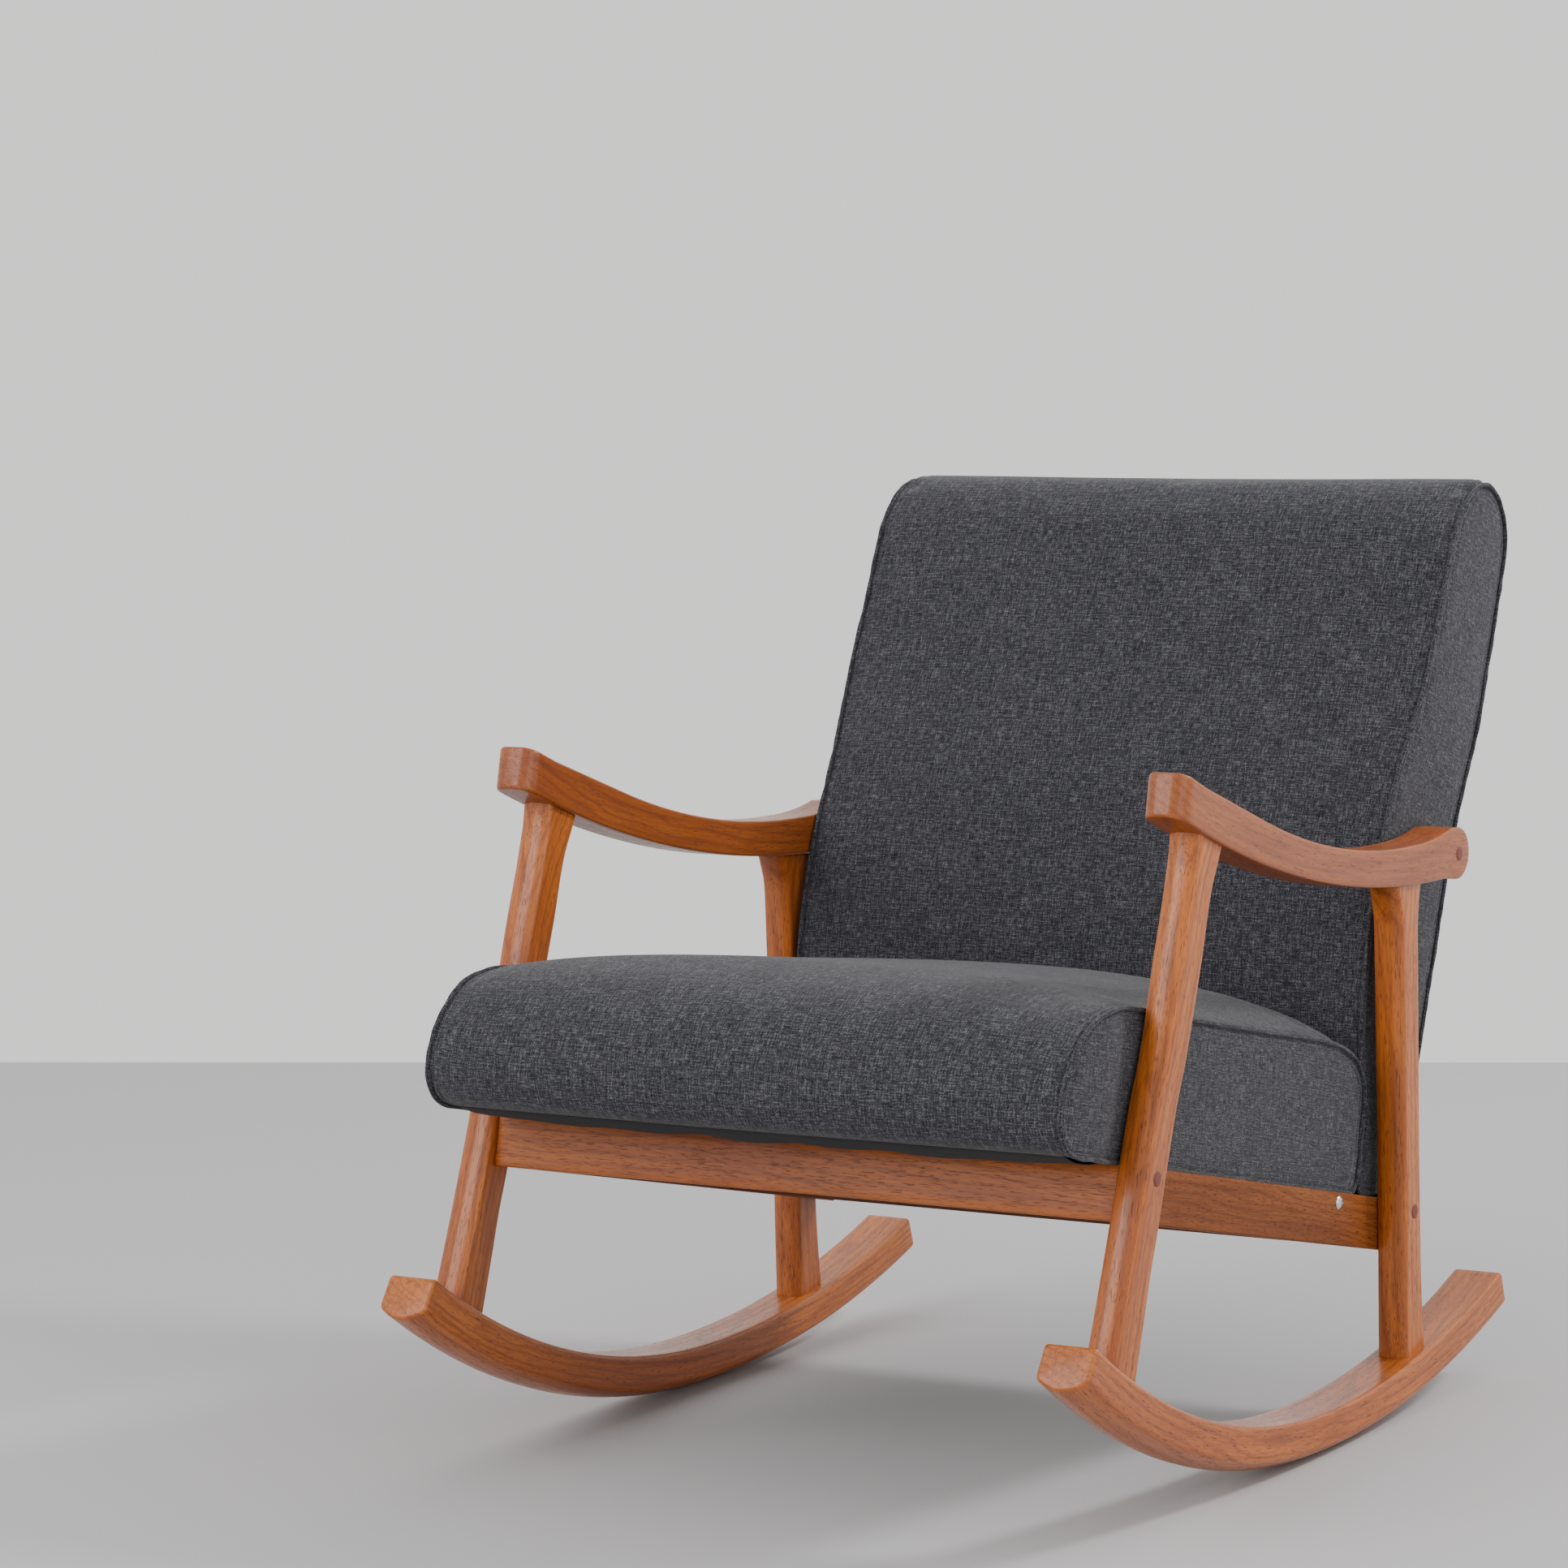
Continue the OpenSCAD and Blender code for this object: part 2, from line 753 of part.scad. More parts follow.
module screw_head() {
    dome_radius = 8;
    head_radius = 6;
    edge = asin(head_radius / dome_radius);
    drop = dome_radius * cos(edge);
    rotate([0, 90, 0])
        rotate_extrude($fn = round_fn)
            polygon(concat([[0, 0], [head_radius, 0]],
                           arc_points([0, 0.4 - drop], dome_radius, 90 - edge, 90, 6)));
}
module back_screws() {
    color("silver")
        seat_place()
            both_sides()
                translate([0, back_screw_along, 0]) {
                    rod_across(rail_inner - insert_length, leg_inner, bolt_diameter);
                    translate([leg_inner, 0, 0])
                        difference() {
                            screw_head();
                            rod_across(1.2, 4, 4.6);
                        }
                }
}

at_rest() rocker();  // left_rocker
at_rest() right_side() rocker();  // right_rocker
at_rest() front_leg();  // left_front_leg
at_rest() right_side() front_leg();  // right_front_leg
at_rest() rear_leg();  // left_rear_leg
at_rest() right_side() rear_leg();  // right_rear_leg
at_rest() armrest();  // left_armrest
at_rest() right_side() armrest();  // right_armrest
at_rest() both_sides() color("tan") side_dowels();  // leg_dowels
at_rest() front_rail();
at_rest() side_rail();  // left_side_rail
at_rest() right_side() side_rail();  // right_side_rail
at_rest() rear_rail();
at_rest() corner_blocks();
at_rest() rail_dowels();
at_rest() seat_front_bar();
at_rest() seat_rear_bar();
at_rest() seat_side_bars();
at_rest() seat_webbing();
at_rest() seat_foam();
at_rest() seat_cover();
at_rest() seat_dust_cloth();
at_rest() seat_screws();
at_rest() back_post();  // left_back_post
at_rest() right_side() back_post();  // right_back_post
at_rest() back_top_bar();
at_rest() back_middle_bar();
at_rest() back_bottom_bar();
at_rest() back_webbing();
at_rest() back_foam();
at_rest() back_cover();
at_rest() arm_spacers();
at_rest() front_leg_bolts();
at_rest() rear_leg_bolts();
at_rest() arm_bolts();
at_rest() bolt_caps();
at_rest() barrel_nuts();
at_rest() insert_nuts();
at_rest() back_screws();
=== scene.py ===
"""Visual model of the upholstered rocking chair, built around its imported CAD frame."""

import math

import bmesh
import bpy
import numpy as np
from mathutils import Matrix, Vector


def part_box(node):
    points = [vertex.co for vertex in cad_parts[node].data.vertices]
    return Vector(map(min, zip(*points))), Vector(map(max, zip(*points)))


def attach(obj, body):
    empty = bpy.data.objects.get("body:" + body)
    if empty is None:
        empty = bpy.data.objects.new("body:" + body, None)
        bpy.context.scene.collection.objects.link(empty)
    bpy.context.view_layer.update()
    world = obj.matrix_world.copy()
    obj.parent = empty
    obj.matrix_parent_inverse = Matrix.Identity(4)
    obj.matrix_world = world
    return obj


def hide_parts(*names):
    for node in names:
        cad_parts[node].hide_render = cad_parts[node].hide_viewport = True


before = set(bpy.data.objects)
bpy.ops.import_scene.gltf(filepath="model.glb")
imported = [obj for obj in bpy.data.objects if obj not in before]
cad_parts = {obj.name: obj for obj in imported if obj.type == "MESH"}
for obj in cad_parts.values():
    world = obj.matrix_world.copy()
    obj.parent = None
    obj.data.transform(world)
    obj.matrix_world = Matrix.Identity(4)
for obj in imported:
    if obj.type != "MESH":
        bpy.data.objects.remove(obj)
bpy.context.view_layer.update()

MM = 0.001
SEED = 7

# The same placing as in the CAD source: side profiles are (y, z) in millimetres for a chair
# that stands level, and the whole chair is then rolled back on its rear rocker arc.
SOLE_FLAT = 0.1  # depth of the small flat on which the empty chair comes to rest
REST_LEAN = math.radians(1.7)
REAR_ARC = 1098.0
FRONT_ARC = 788.0
FRONT_TIP = math.radians(32.9)
REAR_TIP = math.radians(20.2)
SEAT_SLOPE = math.radians(10.6)
BACK_LEAN = math.radians(20.0)
SEAT_ORIGIN = (-294.0, 271.7)
BACK_ORIGIN = (267.0, 484.5)
SIDE = 305.0  # centre plane of a side frame
LEG_HALF = 14.0
ARM_HALF = 19.0
ARM_END = 22.5  # radius of an armrest's rear end
ROCKER_HALF = 23.0
RAIL_TOP, RAIL_BOTTOM = 9.0, -36.0  # square to the seat slope
SIDE_RAIL = 282.0  # centre of a side rail, on the inner side of the legs


def roll(y, z):
    """A level side-profile point, rolled back to the rest position, before the shift to centre."""
    c, s = math.cos(REST_LEAN), math.sin(REST_LEAN)
    return y * c + (z - REAR_ARC) * s, REAR_ARC - y * s + (z - REAR_ARC) * c


TIP_LOW = roll(-FRONT_ARC * math.sin(FRONT_TIP), FRONT_ARC * (1 - math.cos(FRONT_TIP)))
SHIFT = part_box("left_rocker")[0].y / MM - TIP_LOW[0]


def place(points):
    """Points (x, y, z) of the level chair in millimetres, as metres in the CAD frame."""
    p = np.array(points, float).reshape(-1, 3)
    c, s = math.cos(REST_LEAN), math.sin(REST_LEAN)
    y, z = p[:, 1], p[:, 2] - REAR_ARC
    out = np.stack([p[:, 0], y * c + z * s + SHIFT, REAR_ARC - SOLE_FLAT - y * s + z * c], 1)
    return out * MM


def on_slope(origin, slope, along, up):
    """A point along a line sloping down to the rear, and up square to it, as level (y, z)."""
    c, s = math.cos(slope), math.sin(slope)
    return origin[0] + along * c + up * s, origin[1] - along * s + up * c


def on_seat(along, up):
    """A point by its distance back along the seat and up square to it."""
    return on_slope(SEAT_ORIGIN, SEAT_SLOPE, along, up)


def on_back(up, depth):
    """A point by its distance up the back and forwards or rearwards square to it."""
    c, s = math.cos(BACK_LEAN), math.sin(BACK_LEAN)
    return BACK_ORIGIN[0] + up * s + depth * c, BACK_ORIGIN[1] + up * c - depth * s


# -------- meshes


def new_object(name, verts, faces, smooth=True):
    mesh = bpy.data.meshes.new(name)
    mesh.from_pydata([tuple(v) for v in verts], [], [tuple(f) for f in faces])
    mesh.validate()
    mesh.update()
    if smooth:
        mesh.polygons.foreach_set("use_smooth", [True] * len(mesh.polygons))
    obj = bpy.data.objects.new(name, mesh)
    bpy.context.scene.collection.objects.link(obj)
    return obj


def points_of(obj):
    return np.array([v.co for v in obj.data.vertices], float)


def normals_of(obj):
    obj.data.update()
    normals = np.zeros(len(obj.data.vertices) * 3, np.float32)
    obj.data.vertices.foreach_get("normal", normals)
    return normals.reshape(-1, 3)


def move_points(obj, points):
    obj.data.vertices.foreach_set("co", points.astype(np.float32).ravel())
    obj.data.update()


def add_vectors(obj, name, values):
    """Stores a vector per vertex for the material."""
    attribute = obj.data.attributes.new(name, "FLOAT_VECTOR", "POINT")
    attribute.data.foreach_set("vector", np.array(values, np.float32).ravel())


def add_values(obj, name, values):
    """Stores a number per vertex for the material."""
    attribute = obj.data.attributes.new(name, "FLOAT", "POINT")
    attribute.data.foreach_set("value", np.array(values, np.float32).ravel())


def finish_piece(obj, material, slot, *nodes):
    """Gives a piece its material and its body, and hides the CAD nodes it stands for; the slot argument is
    not used.
    """
    obj.data.materials.clear()
    obj.data.materials.append(material)
    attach(obj, "root")
    if nodes:
        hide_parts(*nodes)


def outward(obj):
    """Makes every face point outwards."""
    bm = bmesh.new()
    bm.from_mesh(obj.data)
    bmesh.ops.recalc_face_normals(bm, faces=bm.faces)
    bm.to_mesh(obj.data)
    bm.free()


def tube_faces(count, size, base=0):
    """Quads between neighbouring closed rings, where the first ring starts at vertex base."""
    faces = []
    for i in range(count - 1):
        a, b = base + i * size, base + (i + 1) * size
        for j in range(size):
            k = (j + 1) % size
            faces.append((a + j, a + k, b + k, b + j))
    return faces


def closed_tube_faces(count, size, base):
    """A tube of quads with a flat face over each end."""
    last = base + (count - 1) * size
    ends = [[base + k for k in range(size)][::-1], [last + k for k in range(size)]]
    return tube_faces(count, size, base) + ends


def grain_at(seed, along, up, across):
    """Where a point lies in the piece's own length of timber."""
    return along + seed * 900, up + seed * 37, across + seed * 91


def ring_mesh(rings, grain, name):
    """Joins equal closed rings of points into a tube with a fan of faces over each end."""
    count, size = len(rings), len(rings[0])
    verts = [p for ring in rings for p in ring]
    coords = [p for ring in grain for p in ring]
    faces = tube_faces(count, size)
    for base, flip in ((0, True), ((count - 1) * size, False)):
        centre = len(verts)
        verts.append(np.mean([verts[base + j] for j in range(size)], 0))
        coords.append(np.mean([coords[base + j] for j in range(size)], 0))
        for j in range(size):
            k = (j + 1) % size
            f = (base + j, base + k, centre)
            faces.append(tuple(reversed(f)) if flip else f)
    obj = new_object(name, place(verts), faces)
    add_vectors(obj, "grain", np.array(coords) * MM)
    outward(obj)
    return obj


def rounded_section(half_width, low, high, radius, bulge=0.0, crown=0.0):
    """A closed section as (across, up) pairs. bulge pushes the high side out, crown the low side."""
    r = max(0.02, min(radius, (high - low) * 0.49, half_width * 0.49))
    out = half_width - r
    corners = [(out, high - r, 0), (-out, high - r, 90), (-out, low + r, 180), (out, low + r, 270)]
    steps, flats = 4, 6  # steps round each corner and along each side
    pts = []
    for n, (cx, cy, start) in enumerate(corners):
        for k in range(steps + 1):
            a = math.radians(start + 90 * k / steps)
            pts.append([cx + r * math.cos(a), cy + r * math.sin(a)])
        nx, ny, nstart = corners[(n + 1) % 4]
        end = (nx + r * math.cos(math.radians(nstart)), ny + r * math.sin(math.radians(nstart)))
        here = pts[-1]
        for k in range(1, flats):
            t = k / flats
            pts.append([here[0] + (end[0] - here[0]) * t, here[1] + (end[1] - here[1]) * t])
    mid = (low + high) / 2
    for p in pts:
        share = 1 - (p[0] / half_width) ** 2
        if p[1] > mid:
            p[1] += bulge * share * min(1, (p[1] - mid) / (high - mid))
        else:
            p[1] -= crown * share * min(1, (mid - p[1]) / (mid - low))
    return pts


def spline(points, steps):
    """A Catmull-Rom curve through the given points, with this many steps between two of them."""
    p = np.vstack([2 * points[0] - points[1], points, 2 * points[-1] - points[-2]])
    dense = []
    for i in range(1, len(p) - 2):
        for t in np.linspace(0, 1, steps, endpoint=False):
            a, b, c, d = p[i - 1], p[i], p[i + 1], p[i + 2]
            dense.append(
                0.5 * (2 * b + (c - a) * t + (2 * a - 5 * b + 4 * c - d) * t**2
                       + (3 * b - a - 3 * c + d) * t**3)
            )
    dense.append(p[-2])
    return np.array(dense)


def smooth_curve(points, count):
    """Evenly spaced points on a smooth curve through the given points."""
    dense = spline(np.array(points, float), 24)
    s = np.concatenate([[0], np.cumsum(np.linalg.norm(np.diff(dense, axis=0), axis=1))])
    at = np.linspace(0, s[-1], count)
    return np.stack([np.interp(at, s, dense[:, k]) for k in range(dense.shape[1])], 1)


def soft_ends(count, length, radius, steps=4):
    """Stations along a piece as (share of length, inset), with rounded ends."""
    out = []
    for k in range(steps + 1):
        a = math.pi / 2 * k / steps
        out.append((radius * (1 - math.cos(a)) / length, radius * (1 - math.sin(a))))
    for t in np.linspace(radius / length, 1 - radius / length, count)[1:-1]:
        out.append((t, 0.0))
    return out + [(1 - t, inset) for t, inset in reversed(out[: steps + 1])]


def board(name, side, front, rear, half, radius, seed, bulge=0.0, count=60):
    """A piece between two side-profile edges, from its first points to its last, with soft edges."""
    dense = 400
    f, r = smooth_curve(front, dense), smooth_curve(rear, dense)
    length = float(np.linalg.norm(np.diff((f + r) / 2, axis=0), axis=1).sum())
    rings, grain = [], []
    for t, inset in soft_ends(count, length, 1.0):
        k = t * (dense - 1)
        i = min(int(k), dense - 2)
        a = f[i] + (f[i + 1] - f[i]) * (k - i)
        b = r[i] + (r[i + 1] - r[i]) * (k - i)
        depth = float(np.linalg.norm(a - b))
        unit = (a - b) / depth
        ring, coord = [], []
        section = rounded_section(half - inset, inset, depth - inset, radius, bulge)
        for across, up in section:
            y, z = b + unit * up
            ring.append((side + across, y, z))
            coord.append(grain_at(seed, t * length, up, across))
        rings.append(ring)
        grain.append(coord)
    return ring_mesh(rings, grain, name)


# -------- materials


class Nodes:
    """Short calls for building a node tree."""

    def __init__(self, name):
        self.material = bpy.data.materials.new(name)
        self.material.use_nodes = True
        self.tree = self.material.node_tree
        self.shader = self.tree.nodes["Principled BSDF"]

    def make(self, kind, **settings):
        """Adds a node and sets its options."""
        node = self.tree.nodes.new(kind)
        for key, value in settings.items():
            setattr(node, key, value)
        return node

    def put(self, value, socket):
        """Links a socket, or sets a constant on it."""
        if isinstance(value, bpy.types.NodeSocket):
            self.tree.links.new(value, socket)
        else:
            socket.default_value = value

    def fill(self, node, values, output):
        """Links or sets the named inputs of a node and returns the named output."""
        for name, value in values.items():
            self.put(value, node.inputs[name])
        return node.outputs[output]

    def attribute(self, name):
        return self.make("ShaderNodeAttribute", attribute_name=name)

    def math(self, operation, a, b=0.0):
        node = self.make("ShaderNodeMath", operation=operation)
        self.put(a, node.inputs[0])
        self.put(b, node.inputs[1])
        return node.outputs[0]

    def scaled(self, vector, scale):
        node = self.make("ShaderNodeVectorMath", operation="MULTIPLY")
        self.put(vector, node.inputs[0])
        node.inputs[1].default_value = scale
        return node.outputs[0]

    def noise(self, vector, scale, detail=2.0, roughness=0.5, distortion=0.0):
        values = {"Vector": vector, "Scale": scale, "Detail": detail, "Roughness": roughness,
                  "Distortion": distortion}
        return self.fill(self.make("ShaderNodeTexNoise"), values, "Fac")

    def span(self, value, low, high, out_low=0.0, out_high=1.0):
        """Maps the range low to high onto the output range."""
        values = {"Value": value, "From Min": low, "From Max": high, "To Min": out_low,
                  "To Max": out_high}
        return self.fill(self.make("ShaderNodeMapRange"), values, "Result")

    def mix(self, share, a, b):
        node = self.make("ShaderNodeMix", data_type="RGBA")
        return self.fill(node, {"Factor": share, "A": a, "B": b}, "Result")

    def bump(self, height, distance, strength=1.0):
        values = {"Strength": strength, "Distance": distance, "Height": height}
        normal = self.fill(self.make("ShaderNodeBump"), values, "Normal")
        self.put(normal, self.shader.inputs["Normal"])


def rgb(r, g, b):
    return (r, g, b, 1.0)


def wood_material(name, light, mid, dark, pore, coat=0.22, gloss=0.5):
    """Stained hardwood: growth lines, streaks and short pores that run along the piece.
    The edge values paint a highlight along its rounded edges, and the tone value deepens its stain, which on
    some pieces also stands for painted shade."""
    n = Nodes(name)
    grain = n.attribute("grain").outputs["Vector"]
    edge = n.attribute("edge").outputs["Fac"]
    parts = n.make("ShaderNodeSeparateXYZ")
    n.put(grain, parts.inputs[0])
    broad = n.noise(n.scaled(grain, (2.6, 17.0, 17.0)), 1.0, 3.0, 0.55, 0.6)
    tilt = n.math("MULTIPLY", parts.outputs[0], 0.045)
    depth = n.math("ADD", n.math("ADD", parts.outputs[1], tilt), n.math("MULTIPLY", broad, 0.05))
    width = n.math("MULTIPLY", parts.outputs[2], 0.7)
    squares = n.math("ADD", n.math("MULTIPLY", depth, depth), n.math("MULTIPLY", width, width))
    rings = n.math("SINE", n.math("MULTIPLY", n.math("SQRT", squares), 900.0))
    streak = n.noise(n.scaled(grain, (8.0, 210.0, 210.0)), 1.0, 4.0, 0.6)
    fine = n.noise(n.scaled(grain, (40.0, 900.0, 900.0)), 1.0, 2.0, 0.5)
    pores = n.noise(n.scaled(grain, (110.0, 1400.0, 1400.0)), 1.0, 1.0, 0.4)
    colour = n.mix(n.span(broad, 0.34, 0.66), mid, light)
    colour = n.mix(n.math("MULTIPLY", n.span(rings, 0.2, 1.0), 0.4), colour, dark)
    colour = n.mix(n.math("MULTIPLY", n.span(streak, 0.45, 0.72), 0.6), colour, dark)
    colour = n.mix(n.math("MULTIPLY", n.span(fine, 0.5, 0.72), 0.4), colour, dark)
    flecks = n.span(pores, 0.6, 0.68)
    colour = n.mix(n.math("MULTIPLY", flecks, 0.7), colour, pore)
    # Painted highlight: the rounded edges are lightened where the finish would catch the light.
    colour = n.mix(n.math("MULTIPLY", edge, 0.3), colour, light)
    # The tone darkens the whole piece: partly a deeper stain, and on the armrests and side rails partly
    # painted shade.
    colour = n.mix(n.math("MULTIPLY", n.attribute("tone").outputs["Fac"], 0.75), colour, dark)
    n.put(colour, n.shader.inputs["Base Color"])
    rough = n.math("ADD", n.span(streak, 0.3, 0.8, 0.3, 0.42), n.math("MULTIPLY", flecks, 0.15))
    n.put(rough, n.shader.inputs["Roughness"])
    n.shader.inputs["Coat Weight"].default_value = coat
    n.shader.inputs["Coat Roughness"].default_value = 0.12
    n.shader.inputs["IOR"].default_value = 1.42
    n.shader.inputs["Specular IOR Level"].default_value = gloss
    height = n.math("SUBTRACT", n.math("MULTIPLY", streak, 0.25), n.math("MULTIPLY", flecks, 0.8))
    n.bump(height, 0.0002, 0.6)
    return n.material


def linen_material(name, dark, mid, light):
    """Heathered plain weave: each thread varies in tone and thickness along its length."""
    n = Nodes(name)
    weave = n.attribute("weave").outputs["Vector"]
    parts = n.make("ShaderNodeSeparateXYZ")
    n.put(weave, parts.inputs[0])
    warp = n.noise(n.scaled(weave, (1000.0, 150.0, 1.0)), 1.0, 2.0, 0.6)
    weft = n.noise(n.scaled(weave, (150.0, 1000.0, 1.0)), 1.0, 2.0, 0.6)
    warp_long = n.noise(n.scaled(weave, (620.0, 34.0, 1.0)), 1.0, 1.0, 0.5)
    weft_long = n.noise(n.scaled(weave, (34.0, 620.0, 1.0)), 1.0, 1.0, 0.5)
    mottle = n.noise(n.scaled(weave, (14.0, 14.0, 1.0)), 1.0, 3.0, 0.6)
    pitch = math.pi / 0.0013  # one thread every 1.3 mm
    wave_u = n.math("SINE", n.math("MULTIPLY", parts.outputs[0], pitch))
    wave_v = n.math("SINE", n.math("MULTIPLY", parts.outputs[1], pitch))
    over = n.math("MULTIPLY", wave_u, wave_v)
    top = n.span(over, -0.6, 0.6)
    tone = n.mix(top, warp, weft)
    long_tone = n.mix(top, warp_long, weft_long)
    value = n.math("ADD", n.math("MULTIPLY", tone, 0.67), n.math("MULTIPLY", long_tone, 0.3))
    value = n.math("ADD", value, n.math("MULTIPLY", mottle, 0.03))
    colour = n.mix(n.span(value, 0.39, 0.51), dark, mid)
    colour = n.mix(n.span(value, 0.51, 0.64), colour, light)
    n.put(colour, n.shader.inputs["Base Color"])
    n.shader.inputs["Roughness"].default_value = 0.92
    n.shader.inputs["Specular IOR Level"].default_value = 0.2
    n.shader.inputs["Sheen Weight"].default_value = 0.18
    n.shader.inputs["Sheen Roughness"].default_value = 0.3
    height = n.math("ADD", n.math("MULTIPLY", n.math("ABSOLUTE", over), 0.5), value)
    n.bump(height, 0.0006, 0.8)
    return n.material


def plain_material(name, base, other, scale, roughness, metallic=0.0, stretch=(1.0, 1.0, 1.0)):
    """A simple finish with fine mottling, for metal, plastic and hidden pieces."""
    n = Nodes(name)
    place_at = n.make("ShaderNodeTexCoord").outputs["Object"]
    mottle = n.noise(n.scaled(place_at, stretch), scale, 3.0, 0.6)
    n.put(n.mix(n.span(mottle, 0.35, 0.65), base, other), n.shader.inputs["Base Color"])
    n.put(n.span(mottle, 0.3, 0.7, roughness - 0.06, roughness + 0.06), n.shader.inputs["Roughness"])
    n.shader.inputs["Metallic"].default_value = metallic
    n.bump(mottle, 0.0002, 0.3)
    return n.material


WOOD = wood_material("amber_hardwood", rgb(0.56, 0.155, 0.019), rgb(0.4, 0.094, 0.012),
                     rgb(0.165, 0.034, 0.01), rgb(0.07, 0.014, 0.004))
# Painted shade: a darker copy of the amber hardwood, with less gloss, for the side rails, which lie in the
# shade under the seat cushion.
SHADED_WOOD = wood_material("shaded_amber_hardwood", rgb(0.28, 0.085, 0.02), rgb(0.19, 0.052, 0.012),
                            rgb(0.1, 0.024, 0.007), rgb(0.05, 0.012, 0.004), coat=0.0, gloss=0.12)
FRAME_WOOD = plain_material("plain_frame_wood", rgb(0.5, 0.34, 0.19), rgb(0.62, 0.45, 0.28), 60.0, 0.7,
                            stretch=(1.0, 1.0, 0.2))
STAINED = plain_material("stained_hidden_wood", rgb(0.12, 0.03, 0.006), rgb(0.2, 0.055, 0.011), 70.0, 0.6,
                         stretch=(0.15, 1.0, 1.0))
LINEN = linen_material("grey_linen", rgb(0.008, 0.008, 0.0115), rgb(0.042, 0.042, 0.05),
                       rgb(0.155, 0.155, 0.17))
THREAD = plain_material("sewing_thread", rgb(0.03, 0.03, 0.034), rgb(0.06, 0.06, 0.065), 900.0, 0.8)
DUST = plain_material("black_dust_cloth", rgb(0.012, 0.013, 0.016), rgb(0.024, 0.026, 0.03), 500.0, 0.85)
STRAP = plain_material("elastic_webbing", rgb(0.05, 0.05, 0.05), rgb(0.1, 0.1, 0.1), 400.0, 0.85)
DARK_STEEL = plain_material("dark_steel", rgb(0.12, 0.12, 0.13), rgb(0.2, 0.2, 0.21), 200.0, 0.4, 1.0)
BRIGHT_STEEL = plain_material("bright_steel", rgb(0.55, 0.55, 0.54), rgb(0.72, 0.72, 0.7), 250.0, 0.25, 1.0)
CAP = plain_material("red_brown_plastic", rgb(0.12, 0.018, 0.012), rgb(0.17, 0.03, 0.02), 150.0, 0.5)

# -------- wooden pieces


def rocker(name, side, seed):
    """A curved runner: two arcs of different radius that meet under the chair."""
    height, edge, side_height = 38.0, 3.0, 29.0
    crown = height - side_height
    rings, grain = [], []
    front_length = FRONT_ARC * FRONT_TIP
    length = front_length + REAR_ARC * REAR_TIP
    for t, inset in soft_ends(150, length, 3.0, 5):
        along = t * length - front_length
        radius = FRONT_ARC if along < 0 else REAR_ARC
        angle = along / radius
        section = rounded_section(ROCKER_HALF - inset, crown + inset * 0.6, height - inset, edge,
                                  0.0, crown - inset * 0.4)
        ring, coord = [], []
        for across, up in section:
            y = (radius - up) * math.sin(angle)
            z = radius - (radius - up) * math.cos(angle)
            ring.append((side + across, y, z))
            coord.append(grain_at(seed, along, up, across))
        rings.append(ring)
        grain.append(coord)
    piece = ring_mesh(rings, grain, name)
    for v in piece.data.vertices:
        v.co.z = max(v.co.z, 0.0)
    return piece


def mark_highlight_edges(obj):
    """Marks where a wooden piece is rounded over, from how its surface turns, for the highlight painted along
    its edges.
    """
    normals = normals_of(obj)
    edges = np.zeros(len(obj.data.edges) * 2, np.int32)
    obj.data.edges.foreach_get("vertices", edges)
    edges = edges.reshape(-1, 2)
    co = points_of(obj)
    d = np.linalg.norm(co[edges[:, 0]] - co[edges[:, 1]], axis=1)
    turn = 1 - (normals[edges[:, 0]] * normals[edges[:, 1]]).sum(1)
    curve = np.sqrt(np.maximum(turn, 0) * 2) / np.maximum(d, 1e-6)
    worst = np.zeros(len(co))
    np.maximum.at(worst, edges[:, 0], curve)
    np.maximum.at(worst, edges[:, 1], curve)
    slight, full = 120, 420  # curvature per metre where the mark begins and where it is full
    add_values(obj, "edge", np.clip((worst - slight) / (full - slight), 0, 1))


FRONT_LEG_FRONT = [(-362, 128), (-348, 164), (-333, 204), (-316.5, 250), (-293, 318), (-271, 370),
                   (-251.5, 434), (-239, 471), (-231, 497), (-225, 520), (-222, 545)]
FRONT_LEG_REAR = [(-329, 112), (-313, 163), (-302, 199), (-289, 235), (-263, 315), (-243, 363),
                  (-219, 433), (-209, 468), (-201, 491), (-191, 510), (-180, 532)]
REAR_LEG_FRONT = [(183, 50), (180, 110), (177, 178), (169, 318), (164, 400), (161, 436), (155, 454),
                  (147, 474)]
REAR_LEG_REAR = [(219, 57), (211, 118), (205, 200), (199, 316), (195, 400), (194, 430), (196, 452),
                 (201, 472)]


def arm_under(y):
    """Height of the armrest's underside: one long arc."""
    return 463.5 + 1280 - math.sqrt(1280**2 - (y - 195) ** 2)


def arm_top(y):
    """Height of the armrest's top: a slope at the nose, then two arcs."""
    if y > 175:
        return 497.9 + 330 - math.sqrt(330**2 - (y - 175) ** 2)
    if y > -113:
        return 497.5 + 900 - math.sqrt(900**2 - (y - 150) ** 2)
    return 536.8 + (-113 - y) * math.tan(math.radians(17.2))


